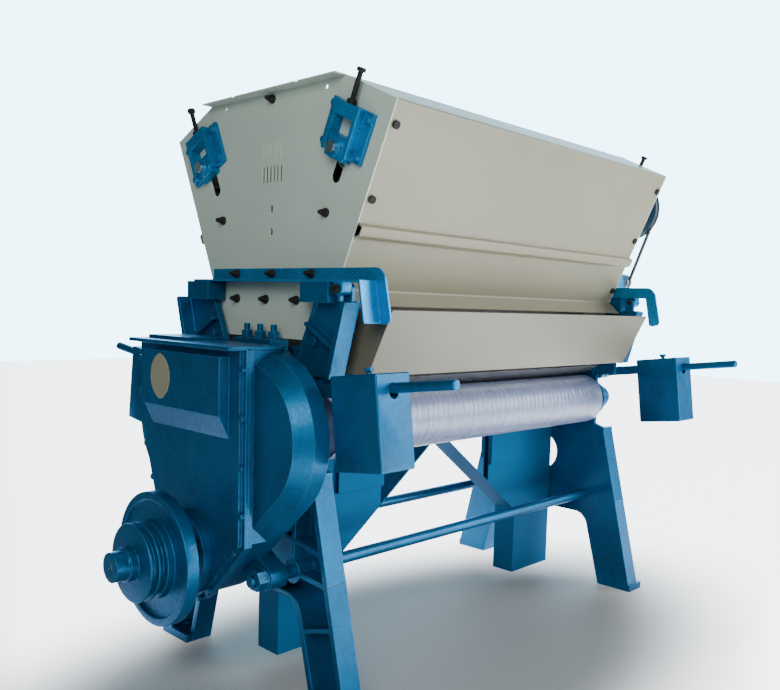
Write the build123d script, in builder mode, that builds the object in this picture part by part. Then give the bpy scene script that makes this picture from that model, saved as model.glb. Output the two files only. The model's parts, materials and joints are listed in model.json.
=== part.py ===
from build123d import *
import math
import os

# Double roller cotton gin with a tilting apron feeder.
# +X runs along the rollers, away from the gear case. -Y is the front, +Z is up.
# The origin is on the floor, in the middle of the four foundation bolt holes.

# ---------------------------------------------------------------- driving sizes
roller_length = 1372.0
roller_radius = 95.0
roller_z = 754.0
roller_shaft_radius = 30.0
gear_module = 8.0
roller_teeth = 51
pinion_teeth = 16
bull_module = 5.0
bull_teeth = 42
drive_teeth = 14
gear_width = 28.0
running_fit = 0.05
seat_gap = 0.3

frame_gap = 25.0
frame_depth = 67.0
web_thickness = 14.0
flange_thickness = 16.0
foot_height = 25.0
foot_width = 89.0
foot_outer_y = 447.0
foot_inner_y = 301.0
waist_y = 294.0
waist_z = 625.0
arch_z = 280.0
frame_top_z = 893.0
shoulder_z = 935.0
shoulder_y = 330.0
foundation_hole_radius = 11.0
foundation_y = 395.0

tie_rod_radius = 18.0
tie_rod_y = 209.0
tie_rod_z = 357.0

drive_z = 408.0
drive_radius = 30.0
flywheel_radius = 181.0
pulley_radius = 105.5
eccentric_throw = 9.0
eccentric_radius = 45.0

beater_z = 935.0
beater_shaft_radius = 25.0
beater_arm = 120.0
blade_reach = 125.0
blade_drop = 83.0
knife_angle = 62.0
knife_length = 112.0
knife_thickness = 6.0

lever_y = 245.0
lever_z = 862.0
lever_tilt = 7.3
lever_length = 554.0
lever_radius = 13.0
lever_pin_radius = 12.0
weight_length = 168.0
weight_width = 118.0
weight_height = 242.0
weight_top = 38.0
weight_start = 181.0

hopper_overhang = 24.0
sheet_thickness = 4.0
hopper_top_y = 313.0
hopper_top_z = 1708.0
hopper_wide_y = 510.0
hopper_wide_z = 1618.0
hopper_low_y = 228.0
hopper_low_z = 1000.0
panel_low_z = 1143.0
rib_z = 1297.0
rail_z = 1162.0
rail_height = 40.0
rail_width = 62.0
tilt_pin_y = 372.0
tilt_pin_z = 1144.0
tilt_pin_radius = 10.0
tilt_lug_radius = 17.0

apron_y = 315.0
apron_z = 1513.0
apron_run = 465.0
apron_roll_radius = 55.0
apron_thickness = 4.0
apron_shaft_radius = 16.0
feeder_pulley_radius = 113.0
jack_y = 290.0
jack_z = 1228.0
jack_radius = 12.5
jack_pulley_radius = 32.0

hood_inset = 12.0
hood_top_z = 1093.0
hood_top_y = 478.0
hood_low_y = 387.0
hood_low_z = 912.0

duct_frame_gap = 9.0
duct_width = 239.0
duct_half_y = 49.0
duct_low_z = 41.0
throat_width = 416.0
throat_low_z = 507.0
throat_top_z = 645.0
roof_top_z = 655.0
roof_low_z = 300.0

# ---------------------------------------------------------------- worked-out places
roller_y = gear_module * roller_teeth / 2
roller_half = roller_length / 2
frame_inner = roller_half + frame_gap
web_outer = frame_inner + web_thickness
frame_outer = frame_inner + frame_depth
foot_outer = frame_inner + foot_width
foundation_x = frame_inner + foot_width / 2 - 10
lever_x = frame_outer - 3
hopper_half = roller_half + hopper_overhang
hood_half = roller_half - hood_inset
duct_outer_x = frame_inner - duct_frame_gap
duct_inner_x = duct_outer_x - duct_width
throat_inner_x = duct_outer_x - throat_width
panel_slope = (hopper_wide_y - hopper_low_y) / (hopper_wide_z - hopper_low_z)
slope_length = math.hypot(panel_slope, 1)
apron_up_y = panel_slope / slope_length
apron_up_z = 1 / slope_length
feed_roll_y = apron_y - apron_run * apron_up_y
feed_roll_z = apron_z - apron_run * apron_up_z

case_stand_off = 60.0
case_wall = 8.0
lug_in_x = -(frame_outer + 37)
lug_out_x = lug_in_x - 56
case_inner_x = -(frame_outer + case_stand_off)
gear_start_x = case_inner_x - 16
gear_end_x = gear_start_x - gear_width
bulge_end_x = gear_end_x - 4
bull_start_x = bulge_end_x - 6
bull_end_x = bull_start_x - 30
rod_start_x = bull_end_x - 8
rod_end_x = rod_start_x - 20
joint_x = rod_end_x - 5
cover_x = joint_x - 20
panel_x = cover_x - 30
case_half_y = 238.0
case_back_y = 262.0
case_top_z = 980.0
case_low_z = 470.0
case_back_z = 760.0
bulge_radius = roller_teeth * gear_module / 2 + gear_module + 16
bulge_z = roller_z - 6
drive_boss_radius = 125.0


def circle_meeting(first, first_radius, second, second_radius):
    """The lower left of the two points at the two given distances from two centres."""
    along = math.dist(first, second)
    share = (first_radius**2 - second_radius**2 + along**2) / (2 * along)
    height = math.sqrt(first_radius**2 - share**2)
    step_y = (second[0] - first[0]) / along
    step_z = (second[1] - first[1]) / along
    return (
        first[0] + share * step_y + height * step_z,
        first[1] + share * step_z - height * step_y,
    )


front_centre = (-roller_y, roller_z)
drive_centre = (0.0, drive_z)
pinion_distance = gear_module * (roller_teeth + pinion_teeth) / 2
bull_distance = bull_module * (bull_teeth + drive_teeth) / 2
counter_y, counter_z = circle_meeting(front_centre, pinion_distance, drive_centre, bull_distance)


# ---------------------------------------------------------------- shared shapes
def block(x_range, y_range, z_range, mode=Mode.ADD):
    """A rectangular block between the given ends, added to the part being built."""
    centre = [(low + high) / 2 for low, high in (x_range, y_range, z_range)]
    size = [abs(high - low) for low, high in (x_range, y_range, z_range)]
    with Locations(tuple(centre)):
        Box(*size, mode=mode)


def bar_x(x_start, x_end, y, z, radius, mode=Mode.ADD):
    """A round bar along X."""
    with Locations(((x_start + x_end) / 2, y, z)):
        Cylinder(radius, abs(x_end - x_start), rotation=(0, 90, 0), mode=mode)


def cone_x(x_start, x_end, y, z, start_radius, end_radius, mode=Mode.ADD):
    """A round taper along X, from its radius at x_start to its radius at x_end."""
    turn = 90 if x_end > x_start else -90
    with Locations(((x_start + x_end) / 2, y, z)):
        Cone(start_radius, end_radius, abs(x_end - x_start), rotation=(0, turn, 0), mode=mode)


def hex_x(x_start, x_end, y, z, across, mode=Mode.ADD):
    """A hexagon nut or head along X."""
    with BuildSketch(Plane.YZ.offset(min(x_start, x_end))) as flat:
        with Locations((y, z)):
            RegularPolygon(across / math.sqrt(3), 6)
    extrude(flat.sketch, amount=abs(x_end - x_start), mode=mode)


def hex_z(x, y, z_start, z_end, across):
    """A hexagon nut or head along Z."""
    with BuildSketch(Plane.XY.offset(z_start)) as flat:
        with Locations((x, y)):
            RegularPolygon(across / math.sqrt(3), 6)
    extrude(flat.sketch, amount=z_end - z_start)


def plate_x(x_start, x_end, points, mode=Mode.ADD):
    """A flat plate across X whose outline is the closed line through the (y, z) points."""
    with BuildSketch(Plane.YZ.offset(min(x_start, x_end))) as flat:
        with BuildLine():
            Polyline(*points, close=True)
        make_face()
    extrude(flat.sketch, amount=abs(x_end - x_start), mode=mode)


def strip_x(x_start, x_end, first, second, width, mode=Mode.ADD):
    """A straight rib across X, from one (y, z) point to another, of the given width."""
    length = math.dist(first, second)
    turn = math.degrees(math.atan2(second[1] - first[1], second[0] - first[0]))
    with BuildSketch(Plane.YZ.offset(min(x_start, x_end))) as flat:
        with Locations(((first[0] + second[0]) / 2, (first[1] + second[1]) / 2)):
            Rectangle(length, width, rotation=turn)
    extrude(flat.sketch, amount=abs(x_end - x_start), mode=mode)


def sheet_x(x_start, x_end, points, thickness=sheet_thickness):
    """Folded sheet along X: an open line of (y, z) points, thickened to its left."""
    with BuildSketch(Plane.YZ.offset(min(x_start, x_end))) as flat:
        with BuildLine():
            Polyline(*points)
            offset(amount=thickness, side=Side.LEFT, kind=Kind.INTERSECTION)
        make_face()
    extrude(flat.sketch, amount=abs(x_end - x_start))


def hull_x(x_start, x_end, circles, corners=(), mode=Mode.ADD, taper=0.0):
    """The tight outline round some circles and corners, as a plate across X."""
    with BuildSketch(Plane.YZ.offset(x_start)) as flat:
        with BuildLine():
            for y, z, radius in circles:
                CenterArc((y, z), radius, 0, 360)
            for first, second in zip(corners, corners[1:]):
                Line(first, second)
        make_hull()
    extrude(flat.sketch, amount=x_end - x_start, taper=taper, mode=mode)


def gear_outline(module, teeth, first_tooth):
    """The (y, z) points of a spur gear about its own centre, with one tooth at first_tooth degrees."""
    pitch_radius = module * teeth / 2
    base_radius = pitch_radius * math.cos(math.radians(20))
    tip_radius = pitch_radius + 0.94 * module
    root_radius = pitch_radius - 1.25 * module
    low_radius = max(base_radius, root_radius + 0.1 * module)

    def half_angle(radius):
        roll = math.acos(min(1.0, base_radius / radius))
        pitch_roll = math.acos(base_radius / pitch_radius)
        lean = (math.tan(roll) - roll) - (math.tan(pitch_roll) - pitch_roll)
        return math.pi / (2 * teeth) - 0.03 * module / pitch_radius - lean

    points = []
    for tooth in range(teeth):
        middle = math.radians(first_tooth) + 2 * math.pi * tooth / teeth
        corners = (
            (root_radius, -half_angle(low_radius)),
            (low_radius, -half_angle(low_radius)),
            (tip_radius, -half_angle(tip_radius)),
            (tip_radius, half_angle(tip_radius)),
            (low_radius, half_angle(low_radius)),
            (root_radius, half_angle(low_radius)),
        )
        for radius, turn in corners:
            points.append((radius * math.cos(middle + turn), radius * math.sin(middle + turn)))
    return points


def meshed_tooth(first_tooth, first_teeth, second_teeth, direction):
    """Where the second gear has a tooth, when it meets the first along direction, all in degrees."""
    slip = (first_tooth - direction) * first_teeth / second_teeth
    return direction + 180 - slip + 180 / second_teeth


def gear_x(x_start, x_end, y, z, module, teeth, first_tooth, mode=Mode.ADD):
    """A spur gear along X."""
    points = [(y + dy, z + dz) for dy, dz in gear_outline(module, teeth, first_tooth)]
    plate_x(x_start, x_end, points, mode)


def write(name, part):
    """Labels a finished piece and writes its STEP file."""
    part.label = name
    export_step(part, f"parts/{name}.step")


os.makedirs("parts", exist_ok=True)

# ---------------------------------------------------------------- end frames
frame_outline = [
    (foot_inner_y, 0),
    (foot_outer_y, 0),
    (waist_y, waist_z),
    (waist_y, waist_z + flange_thickness),
    (waist_y - 44, waist_z + 30),
    (waist_y - 44, lever_z - 12),
    (shoulder_y, lever_z),
    (shoulder_y, shoulder_z),
    (130, shoulder_z),
    (100, frame_top_z),
]
arch_corner_y = foot_inner_y - 0.282 * arch_z
leg_lean = (foot_outer_y - waist_y) / waist_z


def leg_edge(z):
    """How far the leg's outer edge is from the middle at a height."""
    return foot_outer_y - leg_lean * z


def end_frame(end):
    """One cast end frame: a web on the inside, and flanges, ribs and bosses that stand outwards."""
    inner = end * frame_inner
    web = end * web_outer
    outer = end * frame_outer
    with BuildPart() as casting:
        outline = frame_outline + [(-y, z) for y, z in reversed(frame_outline)]
        outline += [(-arch_corner_y, arch_z), (arch_corner_y, arch_z)]
        with BuildSketch(Plane.YZ.offset(min(inner, web))) as profile:
            with BuildLine():
                Polyline(*outline, close=True)
            make_face()
            corners = [v for v in profile.vertices() if abs(v.Y - arch_z) < 1]
            fillet(corners, 60)
            with Locations((-roller_y, roller_z), (roller_y, roller_z)):
                Circle(62)
        extrude(profile.sketch, amount=web_thickness)
        for side in (-1, 1):
            leg_top = (side * (waist_y - flange_thickness / 2), waist_z)
            leg_foot = (side * (leg_edge(6) - flange_thickness / 2), 6)
            strip_x(inner, outer, leg_foot, leg_top, flange_thickness)
            block(
                sorted((inner, outer)),
                sorted((side * (waist_y - flange_thickness), side * waist_y)),
                (waist_z - 4, waist_z + flange_thickness),
            )
            arch_foot = (side * (foot_inner_y + flange_thickness / 2 - 2), 6)
            arch_top = (side * (arch_corner_y + flange_thickness / 2 + 16), arch_z - 56)
            strip_x(inner, outer, arch_foot, arch_top, flange_thickness)
            block(
                sorted((inner, end * foot_outer)),
                sorted((side * foot_inner_y, side * foot_outer_y)),
                (0, foot_height),
            )
            for low, high in ((195, 235), (455, 425)):
                strip_x(
                    inner,
                    outer,
                    (side * (foot_inner_y - 0.282 * low + 4), low),
                    (side * (leg_edge(high) - 6), high),
                    12,
                )
            bar_x(inner, outer, side * tie_rod_y, tie_rod_z, tie_rod_radius + 16)
            strip_x(inner, outer, (side * tie_rod_y, tie_rod_z), (side * leg_edge(345), 345), 14)
            strip_x(
                inner,
                outer,
                (side * tie_rod_y, tie_rod_z),
                (side * (waist_y - 70), waist_z + 10),
                12,
            )
            bar_x(web, end * (web_outer + 22), side * lever_y, lever_z, 26)
        block(sorted((inner, outer)), (-100, 100), (frame_top_z - 20, frame_top_z))
        strip_x(inner, end * (web_outer + 26), (-186, arch_z + 8), (186, arch_z + 8), flange_thickness)
        bar_x(inner, outer, 0, 510, 75 + 12)
        bar_x(inner, outer, 0, 510, 75, Mode.SUBTRACT)
        for side in (-1, 1):
            bar_x(inner, outer, side * roller_y, roller_z, 48, Mode.SUBTRACT)
            bar_x(inner, outer, side * tie_rod_y, tie_rod_z, tie_rod_radius, Mode.SUBTRACT)
            bar_x(
                inner, end * (web_outer + 22), side * lever_y, lever_z,
                lever_pin_radius + running_fit, Mode.SUBTRACT,
            )
            with Locations((end * foundation_x, side * foundation_y, foot_height / 2)):
                Cylinder(foundation_hole_radius, foot_height + 10, mode=Mode.SUBTRACT)
    return casting.part


write("near_end_frame", end_frame(-1))
write("far_end_frame", end_frame(1))

# ---------------------------------------------------------------- tie rods
rod_near_x = lug_out_x - 34
rod_far_x = frame_outer + 34
with BuildPart() as tie_rods:
    for side in (-1, 1):
        bar_x(rod_near_x, rod_far_x, side * tie_rod_y, tie_rod_z, tie_rod_radius)
write("tie_rods", tie_rods.part)

# ---------------------------------------------------------------- hopper brackets
bracket_low_z = 905.0
pad_low_z = 1113.0
pad_top_z = rail_z
bracket_web = 12.0


def hopper_bracket(end, side):
    """One cast arm: web, outer and inner flanges, a cross rib, the rail pad and the tilt lug."""
    web_in = end * web_outer
    web_out = end * (web_outer + bracket_web)
    outer = end * frame_outer
    low_outer = (side * 349, bracket_low_z)
    high_outer = (side * 409, pad_low_z)
    high_inner = (side * 250, pad_low_z)
    low_inner = (side * 150, bracket_low_z)
    with BuildPart() as casting:
        plate_x(web_in, web_out, [low_outer, high_outer, high_inner, low_inner])
        strip_x(
            web_in, outer, (side * 342, bracket_low_z + 4), (side * 400, pad_low_z - 2), flange_thickness
        )
        strip_x(web_in, web_out + end * 6, (side * 153, bracket_low_z + 6), (side * 249, pad_low_z - 2), 8)
        strip_x(web_out, web_out + end * 26, (side * 226, 1050), (side * 352, 980), 10)
        block(
            sorted((end * (hopper_half + 8), outer)),
            sorted((side * 224, side * (tilt_pin_y - tilt_lug_radius - 14))),
            (pad_low_z - 6, pad_top_z),
        )
        if side < 0:
            bar_x(web_in, web_out, side * tilt_pin_y, tilt_pin_z, tilt_lug_radius)
            block(
                sorted((web_in, web_out)),
                (side * tilt_pin_y - tilt_lug_radius, side * tilt_pin_y + tilt_lug_radius),
                (pad_low_z - 8, tilt_pin_z),
            )
            bar_x(
                web_in, web_out, side * tilt_pin_y, tilt_pin_z,
                tilt_pin_radius + running_fit, Mode.SUBTRACT,
            )
    return casting.part


with BuildPart() as hopper_brackets:
    for end in (-1, 1):
        for side in (-1, 1):
            add(hopper_bracket(end, side))
write("hopper_brackets", hopper_brackets.part)

# ---------------------------------------------------------------- tilt pins
with BuildPart() as tilt_pins:
    for end in (-1, 1):
        bar_x(end * web_outer, end * (frame_outer - 4), -tilt_pin_y, tilt_pin_z, tilt_pin_radius)
        hex_x(end * (frame_outer - 4), end * (frame_outer + 8), -tilt_pin_y, tilt_pin_z, 24)
write("tilt_pins", tilt_pins.part)

# ---------------------------------------------------------------- roller bearings
with BuildPart() as roller_bearings:
    for side in (-1, 1):
        bar_x(-frame_inner + 8, case_inner_x, side * roller_y, roller_z, 48)
        bar_x(frame_inner - 8, frame_outer + 30, side * roller_y, roller_z, 48)
        with Locations((frame_outer + 30, side * roller_y, roller_z)):
            Sphere(45)
        bar_x(web_outer, web_outer + 16, side * roller_y, roller_z, 62)
        bar_x(-web_outer, -web_outer - 16, side * roller_y, roller_z, 62)
    for side in (-1, 1):
        bar_x(
            case_inner_x, frame_outer + 24, side * roller_y, roller_z,
            roller_shaft_radius + running_fit, Mode.SUBTRACT,
        )
write("roller_bearings", roller_bearings.part)

# ---------------------------------------------------------------- gear case
box_corners = [
    (-case_half_y, case_low_z),
    (-case_half_y, case_top_z),
    (case_back_y, case_top_z),
    (case_back_y, case_back_z),
]
inner_corners = [
    (-case_half_y + case_wall, case_low_z + 4),
    (-case_half_y + case_wall, case_top_z - case_wall),
    (case_back_y - case_wall, case_top_z - case_wall),
    (case_back_y - case_wall, case_back_z + 3),
]
rim = 14.0
rim_corners = [
    (-case_half_y - rim, case_low_z - 4),
    (-case_half_y - rim, case_top_z),
    (case_back_y + rim, case_top_z),
    (case_back_y + rim, case_back_z - 4),
]
drive_circle = (0, drive_z, drive_boss_radius)
drive_hollow = (0, drive_z, drive_boss_radius - case_wall)
drive_rim = (0, drive_z, drive_boss_radius + rim)
taper_length = 44.0
bulge_taper = 36.0
with BuildPart() as gear_case:
    hull_x(case_inner_x, joint_x, [drive_circle], box_corners)
    for side in (-1, 1):
        hull_x(
            case_inner_x, bulge_end_x,
            [(side * roller_y, bulge_z, bulge_radius), (0, drive_z, drive_boss_radius - 8)],
        )
    hull_x(
        bulge_end_x, bulge_end_x - taper_length,
        [(-roller_y, bulge_z, bulge_radius), (0, drive_z, drive_boss_radius - 8)],
        taper=bulge_taper,
    )
    hull_x(joint_x + 12, joint_x, [drive_rim], rim_corners)
    hull_x(lug_out_x, lug_in_x, [(-tie_rod_y, tie_rod_z, tie_rod_radius + 16), (-90, 400, 45)])
    hull_x(lug_out_x, lug_in_x, [(tie_rod_y, tie_rod_z, tie_rod_radius + 16), (90, 400, 45)])
    hollow_x = case_inner_x - 12
    hull_x(hollow_x, joint_x, [drive_hollow], inner_corners, Mode.SUBTRACT)
    for side in (-1, 1):
        hull_x(
            hollow_x, bulge_end_x,
            [
                (side * roller_y, bulge_z, bulge_radius - case_wall),
                (0, drive_z, drive_boss_radius - 8 - case_wall),
            ],
            mode=Mode.SUBTRACT,
        )
    hull_x(
        bulge_end_x, bulge_end_x - taper_length + case_wall,
        [
            (-roller_y, bulge_z, bulge_radius - case_wall),
            (0, drive_z, drive_boss_radius - 8 - case_wall),
        ],
        mode=Mode.SUBTRACT, taper=bulge_taper,
    )
    bar_x(case_inner_x, hollow_x - 3, 0, drive_z, 44)
    bar_x(case_inner_x, hollow_x - 3, counter_y, counter_z, 32)
    bar_x(case_inner_x, hollow_x - 3, 0, drive_z, 20 + running_fit, Mode.SUBTRACT)
    bar_x(case_inner_x, hollow_x - 3, counter_y, counter_z, 18 + running_fit, Mode.SUBTRACT)
    bar_x(case_inner_x, hollow_x, 0, beater_z, beater_shaft_radius + running_fit, Mode.SUBTRACT)
    for side in (-1, 1):
        bar_x(
            case_inner_x, hollow_x, side * roller_y, roller_z,
            roller_shaft_radius + running_fit, Mode.SUBTRACT,
        )
        bar_x(lug_out_x, lug_in_x, side * tie_rod_y, tie_rod_z, tie_rod_radius, Mode.SUBTRACT)
    block((joint_x + 12, case_inner_x - 30), (-190, 210), (case_top_z - 20, case_top_z), Mode.SUBTRACT)
write("gear_case", gear_case.part)

# ---------------------------------------------------------------- gear case cover
panel_half_y = 190.0
panel_low_z = 747.0
panel_face_z = 808.0
panel_high_z = 962.0
with BuildPart() as gear_case_cover:
    hull_x(joint_x, cover_x, [drive_circle], box_corners)
    hull_x(joint_x, joint_x - 10, [drive_rim], rim_corners)
    with BuildSketch(Plane.XZ.offset(-panel_half_y)) as raised:
        with BuildLine():
            Polyline(
                (cover_x, panel_high_z),
                (panel_x, panel_high_z),
                (panel_x, panel_face_z),
                (cover_x, panel_low_z),
                close=True,
            )
        make_face()
    extrude(raised.sketch, amount=2 * panel_half_y)
    hull_x(joint_x, joint_x - 10, [drive_hollow], inner_corners, Mode.SUBTRACT)
    with BuildSketch(Plane.XZ.offset(-panel_half_y + case_wall)) as raised_hollow:
        with BuildLine():
            Polyline(
                (joint_x - 10, panel_high_z - case_wall),
                (panel_x + case_wall, panel_high_z - case_wall),
                (panel_x + case_wall, panel_face_z + 2),
                (cover_x + case_wall, panel_low_z + 8),
                (joint_x - 10, panel_low_z + 8),
                close=True,
            )
        make_face()
    extrude(raised_hollow.sketch, amount=2 * (panel_half_y - case_wall), mode=Mode.SUBTRACT)
    bar_x(joint_x - 2, cover_x, counter_y, counter_z, 32)
    bar_x(joint_x - 2, cover_x + case_wall, counter_y, counter_z, 18 + running_fit, Mode.SUBTRACT)
    bar_x(joint_x, cover_x, 0, drive_z, 70, Mode.SUBTRACT)
write("gear_case_cover", gear_case_cover.part)

# ---------------------------------------------------------------- gear case lid and inspection plate
lid_thickness = 10.0
with BuildPart() as gear_case_lid:
    with BuildSketch(Plane.XY.offset(case_top_z)) as lid_outline:
        with Locations(((panel_x - 8 + case_inner_x) / 2, (case_back_y - case_half_y) / 2)):
            RectangleRounded(abs(panel_x - 8 - case_inner_x), case_back_y + case_half_y + 16, 10)
    extrude(lid_outline.sketch, amount=lid_thickness)
    block((joint_x - 10, case_inner_x - 2), (30, 238), (case_top_z + lid_thickness, case_top_z + 20))
write("gear_case_lid", gear_case_lid.part)

leaf_height = 128.0
leaf_width = 100.0
leaf_y = 99.0
leaf_z = 890.0
with BuildPart() as inspection_plate:
    leaf_radius = (leaf_height**2 / 4 + leaf_width**2 / 4) / leaf_width
    with BuildSketch(Plane.YZ.offset(panel_x - 3)) as leaf:
        with Locations((leaf_y + leaf_radius - leaf_width / 2, leaf_z)):
            Circle(leaf_radius)
        with Locations((leaf_y - leaf_radius + leaf_width / 2, leaf_z)):
            Circle(leaf_radius, mode=Mode.INTERSECT)
    extrude(leaf.sketch, amount=3)
write("inspection_plate", inspection_plate.part)

# ---------------------------------------------------------------- frame and gear case bolts
front_bolts = [(-case_half_y - 5, z) for z in (930, 806, 676, 551)]
back_bolts = [(case_back_y + 5, z) for z in (930, 830)]
low_bolts = []
for turn in (200, 225, 250, 285, 315, 345):
    reach = drive_boss_radius + 6
    low_bolts.append((reach * math.cos(math.radians(turn)), drive_z + reach * math.sin(math.radians(turn))))
side_bolts = [(-case_half_y + 26, case_low_z - 22), (case_back_y - 24, 680), (case_back_y - 62, 585)]
with BuildPart() as frame_bolts:
    for side in (-1, 1):
        bar_x(lug_out_x, lug_out_x - 6, side * tie_rod_y, tie_rod_z, 30)
        hex_x(lug_out_x - 6, rod_near_x, side * tie_rod_y, tie_rod_z, 52)
        bar_x(rod_near_x, rod_near_x - 14, side * tie_rod_y, tie_rod_z, 15)
        bar_x(frame_outer, frame_outer + 5, side * tie_rod_y, tie_rod_z, 30)
        hex_x(frame_outer + 5, frame_outer + 30, side * tie_rod_y, tie_rod_z, 52)
    for side in (-1, 1):
        bar_x(rod_near_x, rod_far_x, side * tie_rod_y, tie_rod_z, tie_rod_radius, Mode.SUBTRACT)
    for end in (-1, 1):
        web_out = end * (web_outer + bracket_web)
        for side in (-1, 1):
            for y, z in ((299, 920), (196, 920), (245, 1001)):
                hex_x(web_out, web_out + end * 12, side * y, z, 24)
    for y, z in front_bolts + back_bolts + low_bolts + side_bolts:
        hex_x(joint_x - 10, joint_x - 21, y, z, 16)
bolt_part = frame_bolts.part - gear_case_cover.part
write("frame_bolts", bolt_part)

# ---------------------------------------------------------------- drive bearing flange
with BuildPart() as drive_bearing_flange:
    bar_x(joint_x + 2, cover_x, 0, drive_z, 70)
    bar_x(cover_x, cover_x - 25, 0, drive_z, 118)
    bar_x(cover_x - 12, cover_x - 25, 0, drive_z, 100, Mode.SUBTRACT)
    bar_x(cover_x - 12, cover_x - 32, 0, drive_z, 62)
    for turn in range(0, 360, 60):
        reach_y = 82 * math.cos(math.radians(turn + 15))
        reach_z = 82 * math.sin(math.radians(turn + 15))
        hex_x(cover_x - 12, cover_x - 20, reach_y, drive_z + reach_z, 16)
    bar_x(joint_x + 2, cover_x - 32, 0, drive_z, drive_radius + running_fit, Mode.SUBTRACT)
write("drive_bearing_flange", drive_bearing_flange.part)

# ---------------------------------------------------------------- seed chutes
roof_rise = (roof_top_z - roof_low_z) / duct_inner_x


def roof_z(x):
    """The height of the deflector roof's underside at a distance from the middle."""
    return roof_top_z - roof_rise * x


def chute_side(end, start_x, y_range):
    """One side sheet of a chute: the throat, cut away along the roof, and the duct under it."""
    outline = [
        (end * duct_outer_x, throat_top_z),
        (end * start_x, throat_top_z),
        (end * start_x, roof_z(start_x) + 3),
        (end * duct_inner_x, roof_low_z + 3),
        (end * duct_inner_x, duct_low_z),
        (end * duct_outer_x, duct_low_z),
    ]
    with BuildSketch(Plane.XZ.offset(-y_range[1])) as side_sheet:
        with BuildLine():
            Polyline(*outline, close=True)
        make_face()
    extrude(side_sheet.sketch, amount=y_range[1] - y_range[0])


with BuildPart() as seed_chutes:
    wall = sheet_thickness
    for end in (-1, 1):
        chute_side(end, throat_inner_x, (-duct_half_y, -duct_half_y + wall))
        chute_side(end, throat_inner_x + 90, (duct_half_y - wall, duct_half_y))
        outer_wall = sorted((end * (duct_outer_x - wall), end * duct_outer_x))
        inner_wall = sorted((end * duct_inner_x, end * (duct_inner_x + wall)))
        flange_x = sorted((end * duct_outer_x, end * frame_inner))
        block(outer_wall, (-duct_half_y, duct_half_y), (duct_low_z, throat_top_z))
        block(inner_wall, (-duct_half_y, duct_half_y), (duct_low_z, roof_low_z + 3))
        block(flange_x, (-duct_half_y - 16, duct_half_y + 16), (throat_top_z - 45, throat_top_z))
        cover_range = sorted((end * throat_inner_x, end * (throat_inner_x + 198)))
        block(cover_range, (-duct_half_y - 14, -duct_half_y), (throat_low_z, throat_low_z + 114))
        back_range = sorted((end * (throat_inner_x + 90), end * (throat_inner_x + 198)))
        block(back_range, (duct_half_y, duct_half_y + 14), (throat_low_z, throat_low_z + 114))
    with BuildSketch(Plane.XZ.offset(-duct_half_y)) as roof:
        with BuildLine():
            Polyline(
                (-duct_inner_x, roof_low_z),
                (-duct_inner_x, roof_low_z + 6),
                (0, roof_top_z + 6),
                (duct_inner_x, roof_low_z + 6),
                (duct_inner_x, roof_low_z),
                (0, roof_top_z),
                close=True,
            )
        make_face()
    extrude(roof.sketch, amount=2 * duct_half_y)
write("seed_chutes", seed_chutes.part)

# ---------------------------------------------------------------- seed grid
grid_slot = 12.0
grid_pitch = 38.0
grid_count = int((roller_length - 40) / grid_pitch)
grid_gap = 9.0


def beside_roller(angle):
    """A point grid_gap clear of the front roller, at an angle from straight inwards."""
    reach = roller_radius + grid_gap
    return (
        -roller_y + reach * math.cos(math.radians(angle)),
        roller_z + reach * math.sin(math.radians(angle)),
    )


with BuildPart() as seed_grid:
    left = [beside_roller(angle) for angle in (38, 20, 0, -20)]
    bottom = [(-50, roller_z - 74), (50, roller_z - 74)]
    right = [(-y, z) for y, z in reversed(left)]
    sheet_x(-frame_inner, frame_inner, left + bottom + right, 5)
    for step in range(grid_count):
        slot_x = (step - (grid_count - 1) / 2) * grid_pitch
        block(
            (slot_x - grid_slot / 2, slot_x + grid_slot / 2),
            (-84, 84),
            (roller_z - 90, roller_z - 12),
            Mode.SUBTRACT,
        )
write("seed_grid", seed_grid.part)

# ---------------------------------------------------------------- beater bearings
block_half_y = 90.0
block_top_z = 998.0
with BuildPart() as beater_bearings:
    for end in (-1, 1):
        span = sorted((end * frame_inner, end * (frame_outer - 4)))
        middle_x = end * (frame_inner + frame_outer) / 2
        block(span, (-block_half_y, block_half_y), (frame_top_z, block_top_z))
        for y in (-65, 0, 65):
            hex_z(middle_x, y, block_top_z, block_top_z + 22, 30)
            with Locations((middle_x, y, block_top_z + 32)):
                Cylinder(9, 20)
    for end in (-1, 1):
        bar_x(
            end * frame_inner, end * frame_outer, 0, beater_z,
            beater_shaft_radius + running_fit, Mode.SUBTRACT,
        )
write("beater_bearings", beater_bearings.part)

# ---------------------------------------------------------------- knife beams and fixed knives
edge_cos = math.cos(math.radians(knife_angle))
edge_sin = math.sin(math.radians(knife_angle))


def beside_knife(side, along, out):
    """A point on the knife, measured along it from its edge and out from the roller's face."""
    reach = roller_radius + seat_gap + out
    y = -roller_y + reach * edge_cos - along * edge_sin
    z = roller_z + reach * edge_sin + along * edge_cos
    return (-side * y, z)


beam_start = 38.0
beam_height = 34.0
with BuildPart() as fixed_knives:
    for side in (-1, 1):
        corners = [
            beside_knife(side, -3, 0),
            beside_knife(side, knife_length, 0),
            beside_knife(side, knife_length, knife_thickness),
            beside_knife(side, 12, knife_thickness),
        ]
        plate_x(-frame_inner, frame_inner, corners)
write("fixed_knives", fixed_knives.part)

with BuildPart() as knife_beams:
    for side in (-1, 1):
        corners = [
            beside_knife(side, beam_start, knife_thickness),
            beside_knife(side, knife_length, knife_thickness),
            beside_knife(side, knife_length, knife_thickness + beam_height),
            beside_knife(side, beam_start, knife_thickness + beam_height),
        ]
        plate_x(-frame_inner, frame_inner, corners)
write("knife_beams", knife_beams.part)

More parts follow.
